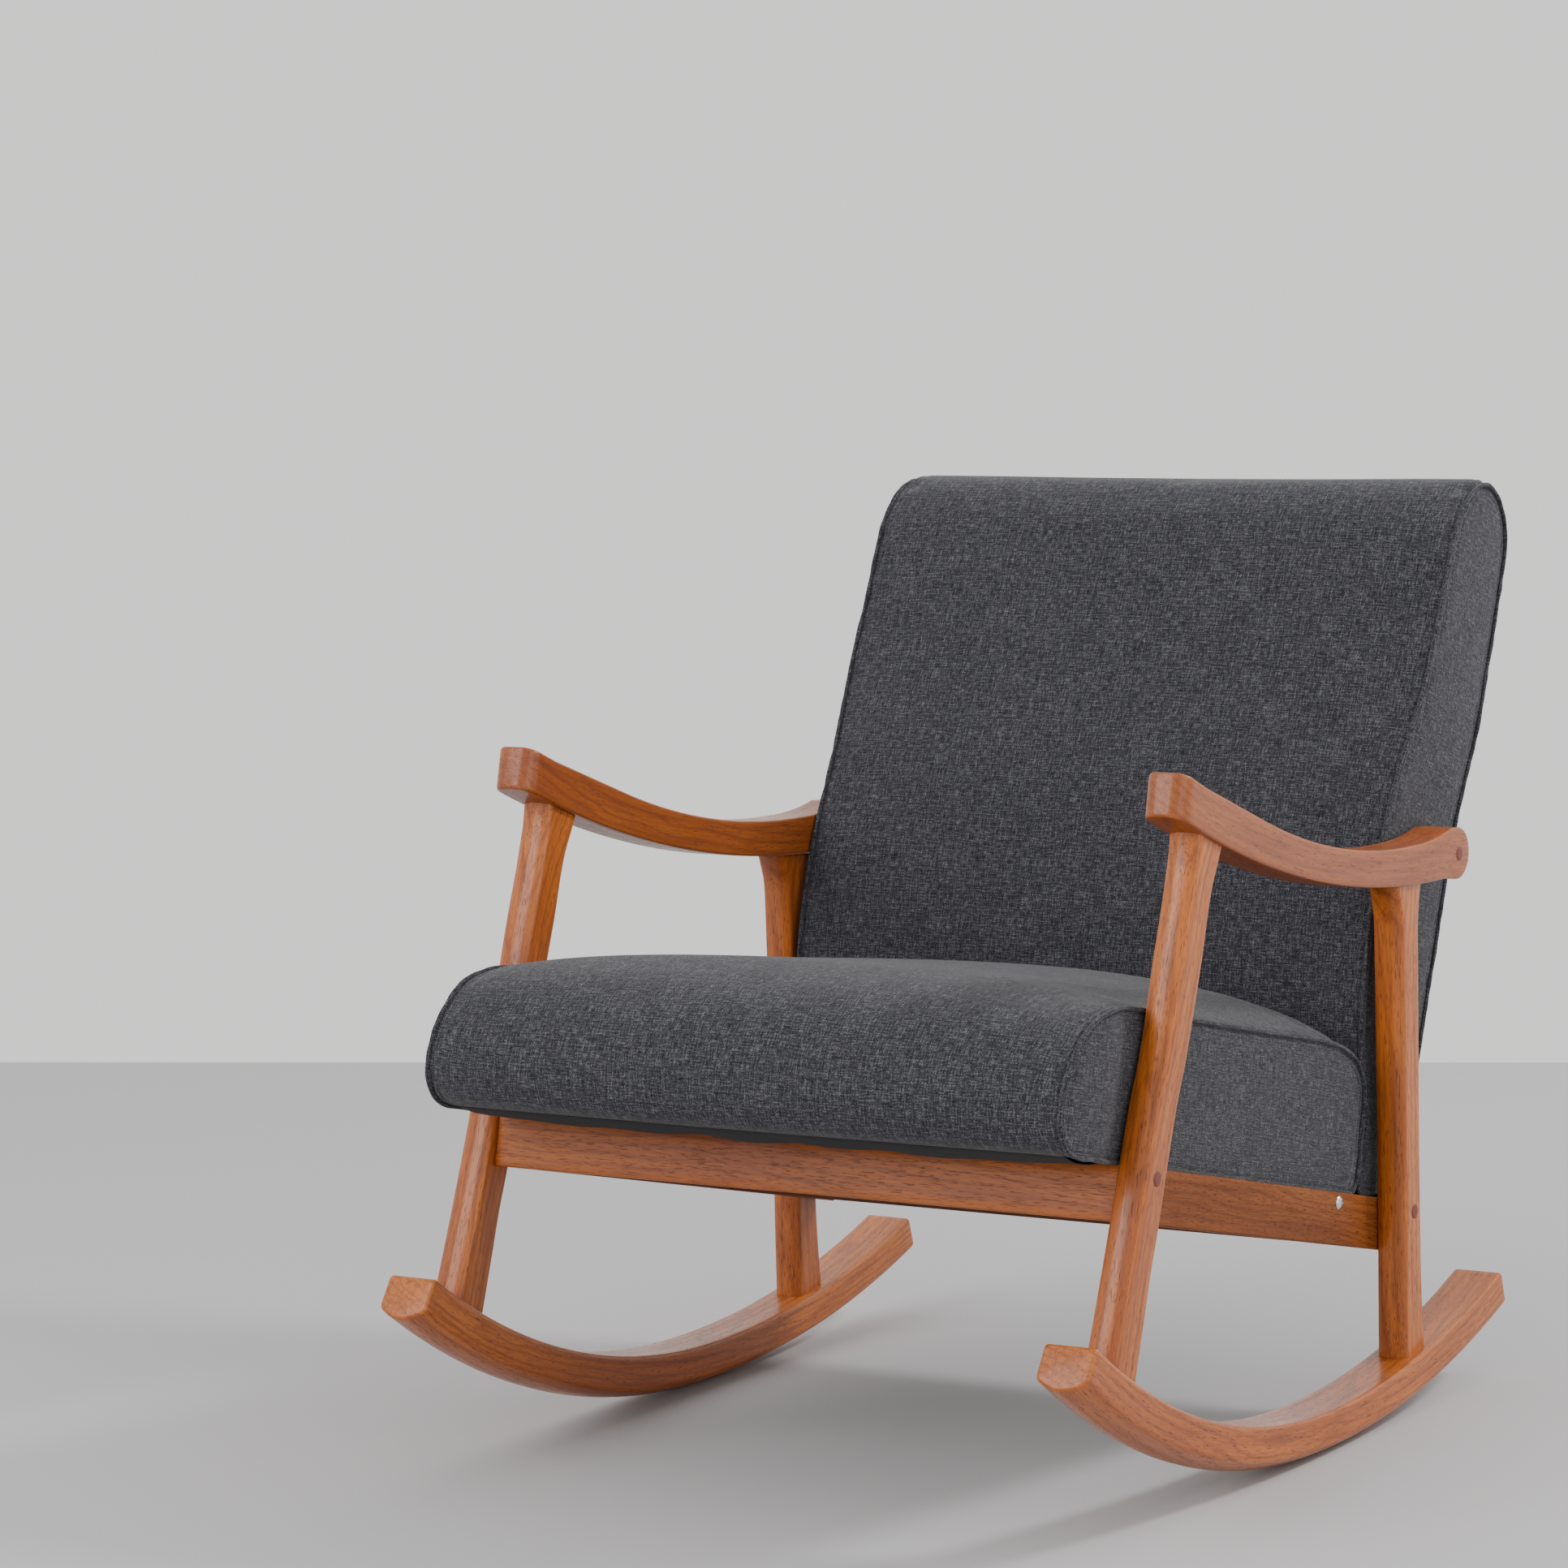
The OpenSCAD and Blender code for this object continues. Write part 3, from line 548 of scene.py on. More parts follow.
def armrest(name, side, seed):
    """A curved armrest with a nose rounded in plan, up to where its round rear end is turned."""
    nose, corner, radius = -266.0, 14.5, 2.6
    centre_y, centre_z, end = BACK_ORIGIN[0], BACK_ORIGIN[1], ARM_END
    turns = (0, 5, 9, 14, 20, 27, 35, 44, 54, 65, 77, 90)
    depths = [corner * (1 - math.cos(math.radians(a))) for a in turns]
    depths += list(np.linspace(corner + 4, centre_y - nose, 100))
    rings, grain = [], []
    for depth in depths:
        y = nose + depth
        low, high = arm_under(min(y, 240)), arm_top(min(y, 252))
        if y > 236:
            k = (y - 236) / (centre_y - 236)
            k = k * k * (3 - 2 * k)
            low = arm_under(y) * (1 - k) + (centre_z - end) * k
        if y > 250:
            k = (y - 250) / (centre_y - 250)
            high = arm_top(252) * (1 - k) + (centre_z + end) * k
        inset = radius - math.sqrt(max(0.0, radius**2 - max(0.0, radius - depth) ** 2))
        turned = corner - math.sqrt(max(0.0, corner**2 - max(0.0, corner - depth) ** 2))
        half = ARM_HALF - turned
        lean = 8.0 * max(0.0, 1 - depth / 45)
        ring, coord = [], []
        for across, up in rounded_section(half, inset, high - low - inset, radius):
            yy = y + lean * up / (high - low)
            ring.append((side + across, yy, low + up))
            coord.append(grain_at(seed, yy, up, across))
        rings.append(ring)
        grain.append(coord)
    return ring_mesh(rings, grain, name)


def armrest_end(name, side, seed):
    """The half-round rear end of an armrest, turned about the bolt line."""
    end, r = ARM_END, 2.6
    profile = [(-ARM_HALF, k) for k in (0.0, 7, 13)]
    for k in range(6):
        a = math.radians(90 * k / 5)
        profile.append((-ARM_HALF + r - r * math.cos(a), end - r + r * math.sin(a)))
    profile += [(x, end) for x in (-10, -4, 4, 10)]
    profile += [(-x, d) for x, d in reversed(profile[:9])]
    verts, coords, faces = [], [], []
    turns = 40
    for i in range(turns + 1):
        a = math.radians(90.5 - 181 * i / turns)
        for x, d in profile:
            y = BACK_ORIGIN[0] + d * math.cos(a)
            z = BACK_ORIGIN[1] + d * math.sin(a)
            verts.append((side + x, y, z))
            coords.append(grain_at(seed, y, z - 462, x))
    size = len(profile)
    for i in range(turns):
        for j in range(size - 1):
            a, b = i * size + j, (i + 1) * size + j
            faces.append((a, a + 1, b + 1, b))
    faces.append([*range(size)][::-1])
    faces.append([turns * size + j for j in range(size)])
    obj = new_object(name, place(verts), faces)
    add_vectors(obj, "grain", np.array(coords) * MM)
    bm = bmesh.new()
    bm.from_mesh(obj.data)
    bmesh.ops.remove_doubles(bm, verts=bm.verts, dist=1e-6)
    bm.to_mesh(obj.data)
    bm.free()
    outward(obj)
    return obj


def sharpen(obj, angle=0.8):
    """Keeps flat faces flat where two of them meet at a clear corner."""
    bm = bmesh.new()
    bm.from_mesh(obj.data)
    for e in bm.edges:
        if len(e.link_faces) == 2 and e.calc_face_angle(0.0) > angle:
            e.smooth = False
    bm.to_mesh(obj.data)
    bm.free()


def join(first, second):
    """Joins the second piece into the first."""
    bpy.ops.object.select_all(action="DESELECT")
    first.select_set(True)
    second.select_set(True)
    bpy.context.view_layer.objects.active = first
    bpy.ops.object.join()
    return first


def front_rail(name, seed):
    """The rail between the front legs, its section square to the seat slope."""
    half, thickness, radius = 291.0, 20.0, 2.2
    rings, grain = [], []
    for t, inset in soft_ends(60, 2 * half, 1.0, 3):
        x = -half + t * 2 * half
        section = rounded_section(thickness / 2 - inset, RAIL_BOTTOM + inset, RAIL_TOP - inset, radius)
        ring, coord = [], []
        for across, up in section:
            y, z = on_seat(across, up)
            ring.append((x, y, z))
            coord.append(grain_at(seed, x, up, across))
        rings.append(ring)
        grain.append(coord)
    return ring_mesh(rings, grain, name)


def side_rail(name, centre, seed):
    stations = (10.3, 180, 350, 521.5)
    top = [on_seat(along, RAIL_TOP) for along in stations]
    bottom = [on_seat(along, RAIL_BOTTOM) for along in stations]
    return board(name, centre, top, bottom, 9.0, 2.0, seed)


def finish_wood(obj, material, node, tone):
    """Finishes a wooden piece in place of its CAD node; tone says how deep its stain is, and on the armrests
    and side rails it also darkens them as painted shade.
    """
    mark_highlight_edges(obj)
    add_values(obj, "tone", np.full(len(obj.data.vertices), tone))
    finish_piece(obj, material, "amber_hardwood", node)


for name, sign, seed in (("left", 1, 1), ("right", -1, 2)):
    side = sign * SIDE
    finish_wood(rocker(f"{name}_rocker_wood", side, seed), WOOD, f"{name}_rocker", 0.08)
    piece = board(f"{name}_front_leg_wood", side, FRONT_LEG_FRONT, FRONT_LEG_REAR, LEG_HALF, 2.2,
                  seed + 2, bulge=4.0, count=90)
    finish_wood(piece, WOOD, f"{name}_front_leg", 0.0)
    piece = board(f"{name}_rear_leg_wood", side, REAR_LEG_FRONT, REAR_LEG_REAR, LEG_HALF, 2.2,
                  seed + 4, bulge=4.0, count=90)
    finish_wood(piece, WOOD, f"{name}_rear_leg", 0.08)
    piece = join(armrest(f"{name}_armrest_wood", side, seed + 6),
                 armrest_end(f"{name}_armrest_end", side, seed + 6))
    sharpen(piece)
    # The armrests' deep tone is partly a darker stain and partly painted shade, to the depth of their shaded
    # inner sides.
    finish_wood(piece, WOOD, f"{name}_armrest", 0.6)
    piece = side_rail(f"{name}_side_rail_wood", sign * SIDE_RAIL, seed + 8)
    # The side rails take the shaded copy of the wood: painted shade under the cushion.
    finish_wood(piece, SHADED_WOOD, f"{name}_side_rail", 0.2)
finish_wood(front_rail("front_rail_wood", 11), WOOD, "front_rail", 0.3)


def add_cap(verts, faces, x, y, z, sign):
    """Adds a turned cap with a soft rim, its face towards sign along x."""
    radius, depth, turns = 6.4, 3.6, 40
    outline = [(0.35, 0.0), (0.7, -0.05), (0.88, -0.18), (0.97, -0.45), (1.0, -0.9), (1.0, -depth)]
    centre = len(verts)
    first = centre + 1
    verts.append((x, y, z))
    for r, d in outline:
        for k in range(turns):
            a = 2 * math.pi * k / turns
            verts.append((x + sign * d, y + radius * r * math.cos(a), z + radius * r * math.sin(a)))
    faces.extend((centre, first + k, first + (k + 1) % turns) for k in range(turns))
    faces.extend(tube_faces(len(outline), turns, first))
    faces.append([first + (len(outline) - 1) * turns + k for k in range(turns)])


def bolt_caps():
    """Three plastic caps on the outer side of each side frame."""
    proud = 0.7
    verts, faces = [], []
    for sign in (1, -1):
        for (y, z), half in ((on_seat(0, 0), LEG_HALF), (on_seat(496, 0), LEG_HALF), (BACK_ORIGIN, ARM_HALF)):
            add_cap(verts, faces, sign * (SIDE + half + proud), y, z, sign)
    piece = new_object("bolt_cap_discs", place(verts), faces)
    outward(piece)
    finish_piece(piece, CAP, "red_brown_plastic", "bolt_caps")


bolt_caps()

# -------- cushions


def wander(along, wavelength, seed):
    """A smooth repeatable noise between about -1 and 1 along a line, in the units of wavelength."""
    local = np.random.default_rng(SEED + seed)
    total = np.zeros(len(along))
    for k in range(7):
        w = wavelength * local.uniform(0.55, 1.9)
        total += np.sin(2 * math.pi * (np.array(along) / w + local.uniform(0, 1))) / 2.6
    return total


def matched_curves(side, mid, spacing):
    """Two matching curves through the same number of control points, with even spacing."""
    dense = spline(np.hstack([np.array(side, float), np.array(mid, float)]), 30)
    step = (np.linalg.norm(np.diff(dense[:, :2], axis=0), axis=1)
            + np.linalg.norm(np.diff(dense[:, 2:], axis=0), axis=1)) / 2
    s = np.concatenate([[0], np.cumsum(step)])
    at = np.linspace(0, s[-1], int(s[-1] / spacing) + 1)
    out = np.stack([np.interp(at, s, dense[:, k]) for k in range(4)], 1)
    return out[:, :2], out[:, 2:], at


# Distances of the rows of vertices from the seam, on the wrapped panel and on the side panels.
STITCH_LINE = 8.2
SEAM_STEPS = [0, 1.6, 3.2, 4.8, 6.4, STITCH_LINE, 10.5, 13.5, 17.5, 22.5, 29]
SIDE_STEPS = [1.6, 3.2, 5.0, 6.6, STITCH_LINE, 10.5, 14, 20, 28, 37, 47]
ROW_SPACING = 6.0
COLUMN_SPACING = 8.0


def zipped(ring, points, start, end):
    """Fills a long thin ring with triangles between its two long sides."""
    along = [(np.array(p) - start) @ (end - start) for p in points]
    first, last = int(np.argmin(along)), int(np.argmax(along))
    count = len(ring)
    one = [(first + k) % count for k in range((last - first) % count + 1)]
    two = [(first - k) % count for k in range((first - last) % count + 1)]
    faces, a, b = [], 0, 0
    while a < len(one) - 1 or b < len(two) - 1:
        step_one = b == len(two) - 1 or (a < len(one) - 1 and along[one[a + 1]] <= along[two[b + 1]])
        if step_one:
            face = (ring[one[a]], ring[one[a + 1]], ring[two[b]])
            a += 1
        else:
            face = (ring[one[a]], ring[two[b + 1]], ring[two[b]])
            b += 1
        if len(set(face)) == 3:
            faces.append(face)
    return faces


def wrapped_panel(side, mid, half_at, plan):
    """The panel that wraps round the profile, its underside closed by a straight line, as the
    start of a cushion's parts. Points are (x, along, up)."""
    s_curve, m_curve, along = matched_curves(side, mid, ROW_SPACING)
    rows = len(along)
    base_steps = int(np.linalg.norm(s_curve[0] - s_curve[-1]) / (2 * ROW_SPACING))
    for k in range(1, base_steps):
        t = k / base_steps
        s_curve = np.vstack([s_curve, s_curve[rows - 1] * (1 - t) + s_curve[0] * t])
        m_curve = np.vstack([m_curve, m_curve[rows - 1] * (1 - t) + m_curve[0] * t])
    total = len(s_curve)
    loop = np.concatenate([along, along[-1] + 2 * ROW_SPACING * np.arange(1, base_steps)])
    halves = np.array([half_at(p) for p in s_curve])
    width = float(halves.max())
    last = SEAM_STEPS[-1]
    inner = np.linspace(last, width, max(3, int((width - last) / COLUMN_SPACING)))[1:-1]
    steps = np.concatenate([SEAM_STEPS, inner, [width]])
    shares = 1 - steps / width
    columns = np.concatenate([shares, -shares[:-1][::-1]])
    verts, weave, pin = [], [], []
    for f in columns:
        crown = 0.62 * (1 - abs(f) ** 2.3) + 0.38 * (1 - abs(f) ** 9)
        for i in range(total):
            a, b = s_curve[i] + (m_curve[i] - s_curve[i]) * crown
            x = f * halves[i]
            if plan is not None:
                x, a, b = plan(x, a, b, halves[i])
            verts.append((x, a, b))
            weave.append((x, loop[i], 0.0))
            pin.append(1.0 if i >= rows or i < 2 or i > rows - 3 else 0.0)
    return {"verts": verts, "weave": weave, "pin": pin, "faces": tube_faces(len(columns), total),
            "rows": rows, "total": total, "count": len(columns), "steps": steps}


def side_panel(parts, sign, edge, medial, side_bulge=1.2):
    """Adds the panel that closes one end: rings that shrink from the seam towards a middle line.
    Returns the rings of vertices, each with its distance from the seam."""
    verts, total = parts["verts"], parts["total"]
    ring = [edge + i for i in range(total)]
    outline = np.array([verts[v][1:] for v in ring])
    xs = np.array([verts[v][0] for v in ring])
    m0, m1 = medial
    t = np.clip(((outline - m0) @ (m1 - m0)) / ((m1 - m0) @ (m1 - m0)), 0, 1)
    target = m0 + t[:, None] * (m1 - m0)
    gap = np.linalg.norm(target - outline, axis=1)
    rings = []
    for depth in SIDE_STEPS:
        share = np.minimum(depth / 50.0, 0.96)
        near = np.minimum(depth / gap, 0.96)
        rest = 1 - share
        s = near * rest + share * (1 - rest)
        pts = outline + (target - outline) * s[:, None]
        bulge = side_bulge * (1 - (1 - s) ** 2)
        new_ring = []
        for i in range(total):
            new_ring.append(len(verts))
            verts.append((xs[i] + sign * bulge[i], pts[i, 0], pts[i, 1]))
            parts["weave"].append((pts[i, 0] + 700 * sign, pts[i, 1], 1.0))
            parts["pin"].append(1.0 if i >= parts["rows"] else 0.0)
        for i in range(total):
            k = (i + 1) % total
            parts["faces"].append((ring[i], ring[k], new_ring[k], new_ring[i]))
        ring = new_ring
        rings.append((depth, new_ring))
    return rings


def cushion(name, side, mid, half_at, to_level, medial, clear_of, plan=None):
    """A boxed cushion: one panel wraps round the profile and two side panels close the ends.
    Returns the object with the rows of vertices along each seam and each line of stitches."""
    parts = wrapped_panel(side, mid, half_at, plan)
    verts, total, rows, count = parts["verts"], parts["total"], parts["rows"], parts["count"]
    medial = [np.array(p, float) for p in medial]
    edges = ((1, 0), (-1, (count - 1) * total))
    parts["side_rings"] = [side_panel(parts, sign, edge, medial) for sign, edge in edges]
    for rings in parts["side_rings"]:
        last = rings[-1][1]
        parts["faces"].extend(zipped(last, [verts[v][1:] for v in last], *medial))
    level = [(x, *to_level(a, b)) for x, a, b in verts]
    obj = parts["obj"] = new_object(name, place(level), parts["faces"])
    add_vectors(obj, "weave", np.array(parts["weave"]) * MM)
    outward(obj)
    column, ring = SEAM_STEPS.index(STITCH_LINE), SIDE_STEPS.index(STITCH_LINE)
    parts["stitch"] = [[j * total + i for i in range(rows)] for j in (column, count - 1 - column)]
    parts["stitch"] += [rings[ring][1] + rings[ring][1][:1] for rings in parts["side_rings"]]
    parts["seams"] = [[edge + i for i in range(total)] + [edge] for sign, edge in edges]
    parts["limit"] = [clear_of(a) for x, a, b in verts]
    return parts


def simulate(parts, pressure, cap, seam_pin, frames=20):
    """Inflates a cushion with Blender's cloth, then keeps each point within cap of where it was
    and clear of the side frames."""
    obj = parts["obj"]
    start = points_of(obj)
    hold = obj.vertex_groups.new(name="hold")
    seam_set = set(v for seam in parts["seams"] for v in seam)
    for i, w in enumerate(parts["pin"]):
        value = max(w, seam_pin if i in seam_set else 0.0)
        if value > 0:
            hold.add([i], value, "REPLACE")
    modifier = obj.modifiers.new("Cloth", "CLOTH")
    s = modifier.settings
    s.quality = 5
    s.mass = 0.25
    s.tension_stiffness = 12
    s.compression_stiffness = 12
    s.shear_stiffness = 5
    s.bending_stiffness = 0.6
    s.use_pressure = True
    s.uniform_pressure_force = pressure
    s.vertex_group_mass = "hold"
    s.effector_weights.gravity = 0
    modifier.collision_settings.use_collision = False
    scene = bpy.context.scene
    for f in range(1, frames + 1):
        scene.frame_set(f)
    dg = bpy.context.evaluated_depsgraph_get()
    done = obj.evaluated_get(dg)
    end = np.array([v.co for v in done.data.vertices], float)
    obj.modifiers.remove(modifier)
    scene.frame_set(1)
    move = end - start
    size = np.linalg.norm(move, axis=1)
    limit = cap * MM * np.tanh(size / (cap * MM)) / np.maximum(size, 1e-9)
    end = start + move * limit[:, None]
    margin = 0.003
    reach = np.array(parts["limit"]) * MM
    over = np.maximum(0, np.abs(end[:, 0]) - (reach - margin))
    end[:, 0] -= np.sign(end[:, 0]) * (over - margin * np.tanh(over / margin))
    move_points(obj, end)


def seam_relief(parts, groove=1.4, pucker=0.6):
    """Sinks the cloth beside the seam and at the stitch lines, and puckers it between them."""
    obj, total, count, rows = parts["obj"], parts["total"], parts["count"], parts["rows"]
    normals = normals_of(obj).astype(float)
    co = points_of(obj)
    lift = np.zeros(len(co))
    around = np.arange(total) * ROW_SPACING
    for edge in (0, 1):
        ripple = wander(around, 18.0, 10 * edge + rows)
        wave = wander(around, 55.0, 10 * edge + rows + 5)

        def relief(d, puff_size):
            near = math.exp(-(((d - 2.6) / 1.5) ** 2)) if d > 0 else 0.0
            line = math.exp(-(((d - STITCH_LINE) / 1.4) ** 2))
            puff = math.exp(-(((d - 15.0) / 8.0) ** 2))
            value = -groove * near - groove * 0.8 * line * (1 + 0.4 * ripple)
            return value + puff_size * ((0.55 * puff + 0.3 * near) * ripple + 0.5 * puff * wave)

        for j in range(count):
            if (j < count / 2) == (edge == 0):
                d = parts["steps"][min(j, count - 1 - j)]
                lift[j * total:j * total + rows] += relief(d, pucker)[:rows]
        for d, ring in parts["side_rings"][edge]:
            lift[ring] += relief(d, 0.5 * pucker)
    move_points(obj, co + normals * (lift * MM)[:, None])


def row_samples(parts, row, spacing):
    """Evenly spaced points and normals along a row of vertices, and the distance to each."""
    vertices = parts["obj"].data.vertices
    points = np.array([vertices[v].co for v in row], float)
    normals = np.array([vertices[v].normal for v in row], float)
    s = np.concatenate([[0], np.cumsum(np.linalg.norm(np.diff(points, axis=0), axis=1))])
    at = np.linspace(0, s[-1], max(2, int(s[-1] / spacing)))
    p = np.stack([np.interp(at, s, points[:, k]) for k in range(3)], 1)
    n = np.stack([np.interp(at, s, normals[:, k]) for k in range(3)], 1)
    return p, n / np.linalg.norm(n, axis=1)[:, None], at


def welts(name, parts, radius=1.9, lift=0.7):
    """The raised sewn edge that follows both seams of a cushion."""
    verts, faces, weave = [], [], []
    sides = 10
    for which, seam in enumerate(parts["seams"]):
        p, n, at = row_samples(parts, seam, 0.004)
        p = p + n * ((lift + 0.15 * wander(at * 1000, 60, 40 + which)) * MM)[:, None]
        tangent = np.gradient(p, axis=0)
        tangent /= np.linalg.norm(tangent, axis=1)[:, None]
        across = np.cross(tangent, n)
        across /= np.linalg.norm(across, axis=1)[:, None]
        out = np.cross(across, tangent)
        size = radius * (1 + 0.12 * wander(at * 1000, 25, 60 + which))
        base = len(verts)
        for i in range(len(p)):
            for k in range(sides):
                a = 2 * math.pi * k / sides
                verts.append(p[i] + (across[i] * math.cos(a) + out[i] * math.sin(a)) * size[i] * MM)
                weave.append((at[i], radius * MM * a, 3.0))
        faces.extend(closed_tube_faces(len(p), sides, base))
    obj = new_object(name, verts, faces)
    add_vectors(obj, "weave", weave)
    outward(obj)
    return obj


def stitches(name, parts, pitch=0.0055, length=0.0042, width=0.0005):
    """Separate sewn stitches along the second line beside each seam."""
    verts, faces = [], []
    sides = 6
    outline = ((-0.5, 0.25), (-0.3, 0.9), (0.0, 1.0), (0.3, 0.9), (0.5, 0.25))
    for row in parts["stitch"]:
        p, n, at = row_samples(parts, row, pitch / 4)
        for i in range(6, len(p) - 6, 4):
            t = p[i + 1] - p[i - 1]
            t /= np.linalg.norm(t)
            side = np.cross(t, n[i])
            base = len(verts)
            for u, w in outline:
                for k in range(sides):
                    a = 2 * math.pi * k / sides
                    verts.append(p[i] + t * u * length
                                 + (side * math.cos(a) + n[i] * math.sin(a)) * w * width
                                 + n[i] * (0.00015 - abs(u) * 0.0005))
            faces.extend(closed_tube_faces(len(outline), sides, base))
    obj = new_object(name, verts, faces)
    outward(obj)
    return obj


def apply_modifier(obj, modifier):
    bpy.context.view_layer.objects.active = obj
    bpy.ops.object.modifier_apply(modifier=modifier.name)


def subdivide(obj):
    modifier = obj.modifiers.new("Subdivision", "SUBSURF")
    modifier.levels = modifier.render_levels = 1
    apply_modifier(obj, modifier)


# Profiles of the cushions at the side seam and in the middle, with as many points in each:
# (along, up) for the seat from the rear, and (up, depth) for the back from the lower rear.
SEAT_SIDE = [(430, 9.4), (438, 16), (441.5, 36), (441, 57), (441, 79), (440, 99), (432, 112),
             (418, 122.5), (388, 130.5), (354, 133), (322, 133), (226, 131), (147, 130), (100, 129.5),
             (9, 130), (-24, 128.5), (-49, 123.5), (-73.5, 114), (-92, 100), (-107, 80), (-116, 57),
             (-117, 37), (-111, 22), (-99, 12.5), (-82, 9.4)]
SEAT_MID = [(430, 9.4), (439, 16), (442, 36), (443, 62), (443, 92), (442, 122), (438, 148),
            (425, 166), (398, 175), (354, 177), (322, 176), (226, 168), (147, 160.5), (100, 156),
            (9, 149), (-24, 146), (-53, 138), (-80, 125), (-102, 106), (-118, 82), (-127, 55),
            (-127, 34), (-119, 18), (-104, 10), (-84, 9.0)]
BACK_SIDE = [(-293, 72), (-200, 72.5), (-100, 73), (0, 73), (100, 73), (200, 73), (270, 73), (305, 71),
             (330, 60), (344, 40), (348, 20), (344, 3), (333, -12), (312, -27), (280, -38), (200, -43),
             (120, -51), (50, -62), (0, -68), (-50, -70), (-100, -66), (-150, -57), (-185, -46), (-235, -28),
             (-275, -14), (-306, -6)]
BACK_MID = [(-293, 72), (-200, 74), (-100, 75.5), (0, 76), (100, 76), (200, 76), (270, 76), (308, 74),
            (335, 62), (349, 40), (351, 18), (344, -1), (330, -18), (308, -34), (278, -47), (200, -55),
            (120, -64), (50, -75), (0, -80), (-50, -81), (-100, -76), (-150, -64), (-185, -49), (-235, -29),
            (-275, -14), (-306, -6)]


def seat_half(p):
    """Half the seat's width, a little more in front of the legs."""
    ahead = min(1.0, max(0.0, (-p[0] - 18) / 30))
    return 286.5 + 5.0 * ahead


def back_half(p):
    """Half the back's width, more above the armrests than between them."""
    above = min(1.0, max(0.0, (p[0] - 20) / 140))
    return 281.5 + 8.0 * above * above * (3 - 2 * above)


def back_plan(x, a, b, half):
    """Rounds the top corners of the back."""
    radius = 6
    near = max(0.0, abs(x) - (half - radius))
    drop = radius - math.sqrt(max(0.0, radius**2 - near * near))
    share = min(1.0, max(0.0, (a - 250) / 90))
    return x, a - drop * share, b


def seat_clear(along):
    """How far out the seat may bulge: up to the legs, or past them in front."""
    return 288.6 if along > -22 else 296.0


def back_clear(up):
    """How far out the back may bulge: up to the armrests, or past them above."""
    return 283.6 + 12.0 * min(1.0, max(0.0, (up - 40) / 100))


SEAT_MEDIAL = ((-50, 66), (378, 68))
BACK_MEDIAL = ((-240, 26), (290, 20))
seat = cushion("seat_cushion", SEAT_SIDE, SEAT_MID, seat_half, on_seat, SEAT_MEDIAL, seat_clear)
back = cushion("back_cushion", BACK_SIDE, BACK_MID, back_half, on_back, BACK_MEDIAL, back_clear,
               plan=back_plan)
simulate(seat, pressure=4.0, cap=5.5, seam_pin=0.9)
simulate(back, pressure=4.0, cap=4.5, seam_pin=0.9)
for parts, label, slot_nodes in ((seat, "seat", ("seat_cover", "seat_foam")),
                                 (back, "back", ("back_cover", "back_foam"))):
    seam_relief(parts)
    welt = welts(f"{label}_welts", parts)
    stitch = stitches(f"{label}_stitches", parts)
    subdivide(parts["obj"])
    finish_piece(parts["obj"], LINEN, "grey_linen_cloth", *slot_nodes)
    finish_piece(welt, LINEN, "grey_linen_cloth")
    finish_piece(stitch, THREAD, "grey_linen_cloth")

# -------- dust cloth


def dust_cloth():
    """The thin cloth under the seat, with a slight sag between the rails and gathers in front."""
    low, high, half = -83.0, 432.0, 280.0
    nu, nx = 70, 110
    gather = wander(np.linspace(0, 560, nx + 1), 95.0, 77)
    verts, faces = [], []
    for i in range(nu + 1):
        u = low + (high - low) * i / nu
        for j in range(nx + 1):
            f = -1 + 2 * j / nx
            inside = 0.0
            if 12 < u < 338:
                inside = max(0.0, 1 - f**6) * max(0.0, 1 - abs((u - 175) / 165) ** 6)
            ahead = max(0.0, min(1.0, (-u - 12) / 30)) * min(1.0, (u + 84) / 20)
            sag = 5.0 * inside + 3.5 * ahead * (1 - f**8)
            ripple = 0.7 * math.sin(f * 19 + u * 0.02) * inside
            ripple += 1.6 * gather[j] * ahead
            y, z = on_seat(u, 9.6 - sag + ripple * 0.6 - 3.5 * ahead)
            verts.append((f * half, y, z))
    for i in range(nu):
        for j in range(nx):
            a = i * (nx + 1) + j
            faces.append((a, a + 1, a + nx + 2, a + nx + 1))
    obj = new_object("seat_dust_sheet", place(verts), faces)
    thick = obj.modifiers.new("Thickness", "SOLIDIFY")
    thick.thickness = 0.0005
    apply_modifier(obj, thick)
    finish_piece(obj, DUST, "black_dust_cloth", "seat_dust_cloth")


dust_cloth()

# -------- carried-over CAD nodes

FINISHES = {
    STAINED: ("rear_rail", "corner_blocks", "left_back_post", "right_back_post"),
    FRAME_WOOD: ("seat_front_bar", "seat_rear_bar", "seat_side_bars", "back_top_bar",
                 "back_middle_bar", "back_bottom_bar", "leg_dowels", "rail_dowels"),
    STRAP: ("seat_webbing", "back_webbing"),
    DARK_STEEL: ("front_leg_bolts", "rear_leg_bolts", "arm_bolts", "seat_screws"),
    BRIGHT_STEEL: ("arm_spacers", "barrel_nuts", "insert_nuts", "back_screws"),
}
for material, names in FINISHES.items():
    for n in names:
        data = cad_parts[n].data
        data.materials.clear()
        data.materials.append(material)

# -------- floor, light and camera


def floor_sheet(name, reach, edge_at, edge_turn, z, sides=96):
    """A round floor with one straight edge behind the chair, seen from the camera."""
    back_way = Vector((-math.sin(YAW + edge_turn), math.cos(YAW + edge_turn)))
    cut = math.acos(edge_at / reach)
    start = math.atan2(back_way.y, back_way.x) + cut
    verts = [(0, 0, z)]
    for k in range(sides + 1):
        a = start + (2 * math.pi - 2 * cut) * k / sides
        verts.append((reach * math.cos(a), reach * math.sin(a), z))
    faces = [(0, 1 + k, 2 + k) for k in range(sides)] + [(0, sides + 1, 1)]
    return new_object(name, verts, faces, smooth=False)


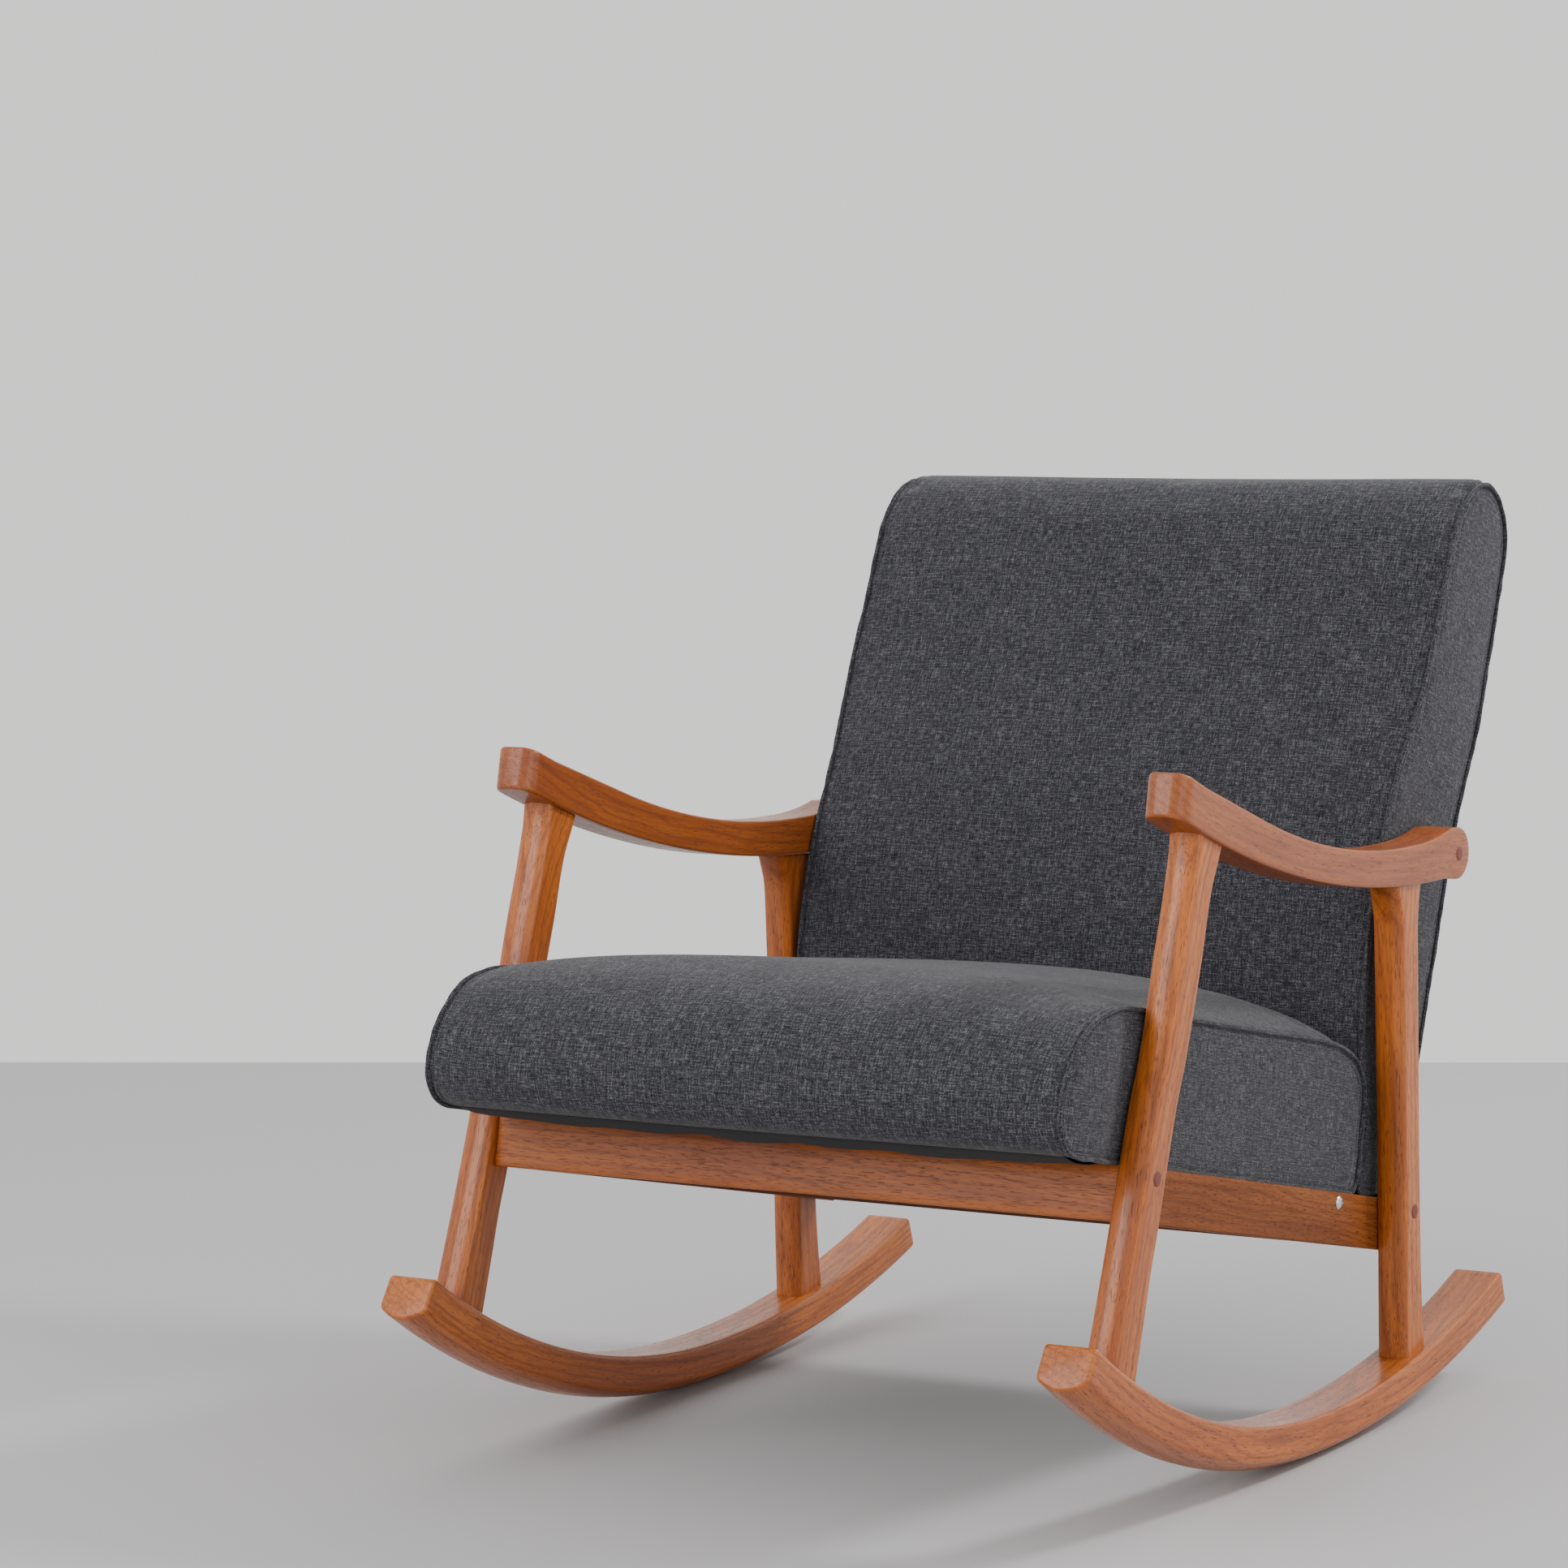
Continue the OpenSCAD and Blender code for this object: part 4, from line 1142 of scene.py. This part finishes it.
YAW, PITCH, ROLL = math.radians(29.64), math.radians(7.635), math.radians(-0.691)
floor = floor_sheet("floor", 3.9, 2.02, math.radians(-4.6), -0.0002)
floor_look = Nodes("floor_paper")
floor_look.shader.inputs["Base Color"].default_value = rgb(0.5, 0.49, 0.495)
floor_look.shader.inputs["Roughness"].default_value = 0.9
floor_look.shader.inputs["Specular IOR Level"].default_value = 0.1
floor.data.materials.append(floor_look.material)

world = bpy.data.worlds.new("studio")
bpy.context.scene.world = world
world.use_nodes = True
background = world.node_tree.nodes["Background"]
background.inputs["Color"].default_value = rgb(0.8, 0.795, 0.785)
background.inputs["Strength"].default_value = 1.35


def area_light(name, location, target, size, power):
    """A round soft light, aimed at the target."""
    data = bpy.data.lights.new(name, "AREA")
    data.shape = "DISK"
    data.size = size
    data.energy = power
    obj = bpy.data.objects.new(name, data)
    obj.location = location
    obj.rotation_mode = "QUATERNION"
    obj.rotation_quaternion = (Vector(target) - Vector(location)).to_track_quat("-Z", "Y")
    bpy.context.scene.collection.objects.link(obj)


area_light("key", (-1.4, -3.2, 2.3), (0, 0, 0.4), 2.4, 62)
area_light("fill", (3.4, -1.6, 1.6), (0, 0, 0.4), 2.4, 20)
area_light("rear", (2.1, 1.7, 2.6), (0, 0, 0.3), 0.7, 70)

eye = Vector((2.0261, -3.6318, 0.9434))
backward = Vector((math.sin(YAW) * math.cos(PITCH), -math.cos(YAW) * math.cos(PITCH), math.sin(PITCH)))
right = Vector((math.cos(YAW), math.sin(YAW), 0.0))
up = backward.cross(right)
turned_right = right * math.cos(ROLL) + up * math.sin(ROLL)
turned_up = up * math.cos(ROLL) - right * math.sin(ROLL)
camera_data = bpy.data.cameras.new("camera")
camera_data.lens = 112.64
camera_data.sensor_width = 36.0
camera_data.shift_x = -0.103
camera_data.shift_y = 0.121
camera_data.clip_end = 100.0
camera = bpy.data.objects.new("camera", camera_data)
bpy.context.scene.collection.objects.link(camera)
camera.matrix_world = Matrix(
    ((turned_right.x, turned_up.x, backward.x, eye.x), (turned_right.y, turned_up.y, backward.y, eye.y),
     (turned_right.z, turned_up.z, backward.z, eye.z), (0, 0, 0, 1)))
bpy.context.scene.camera = camera
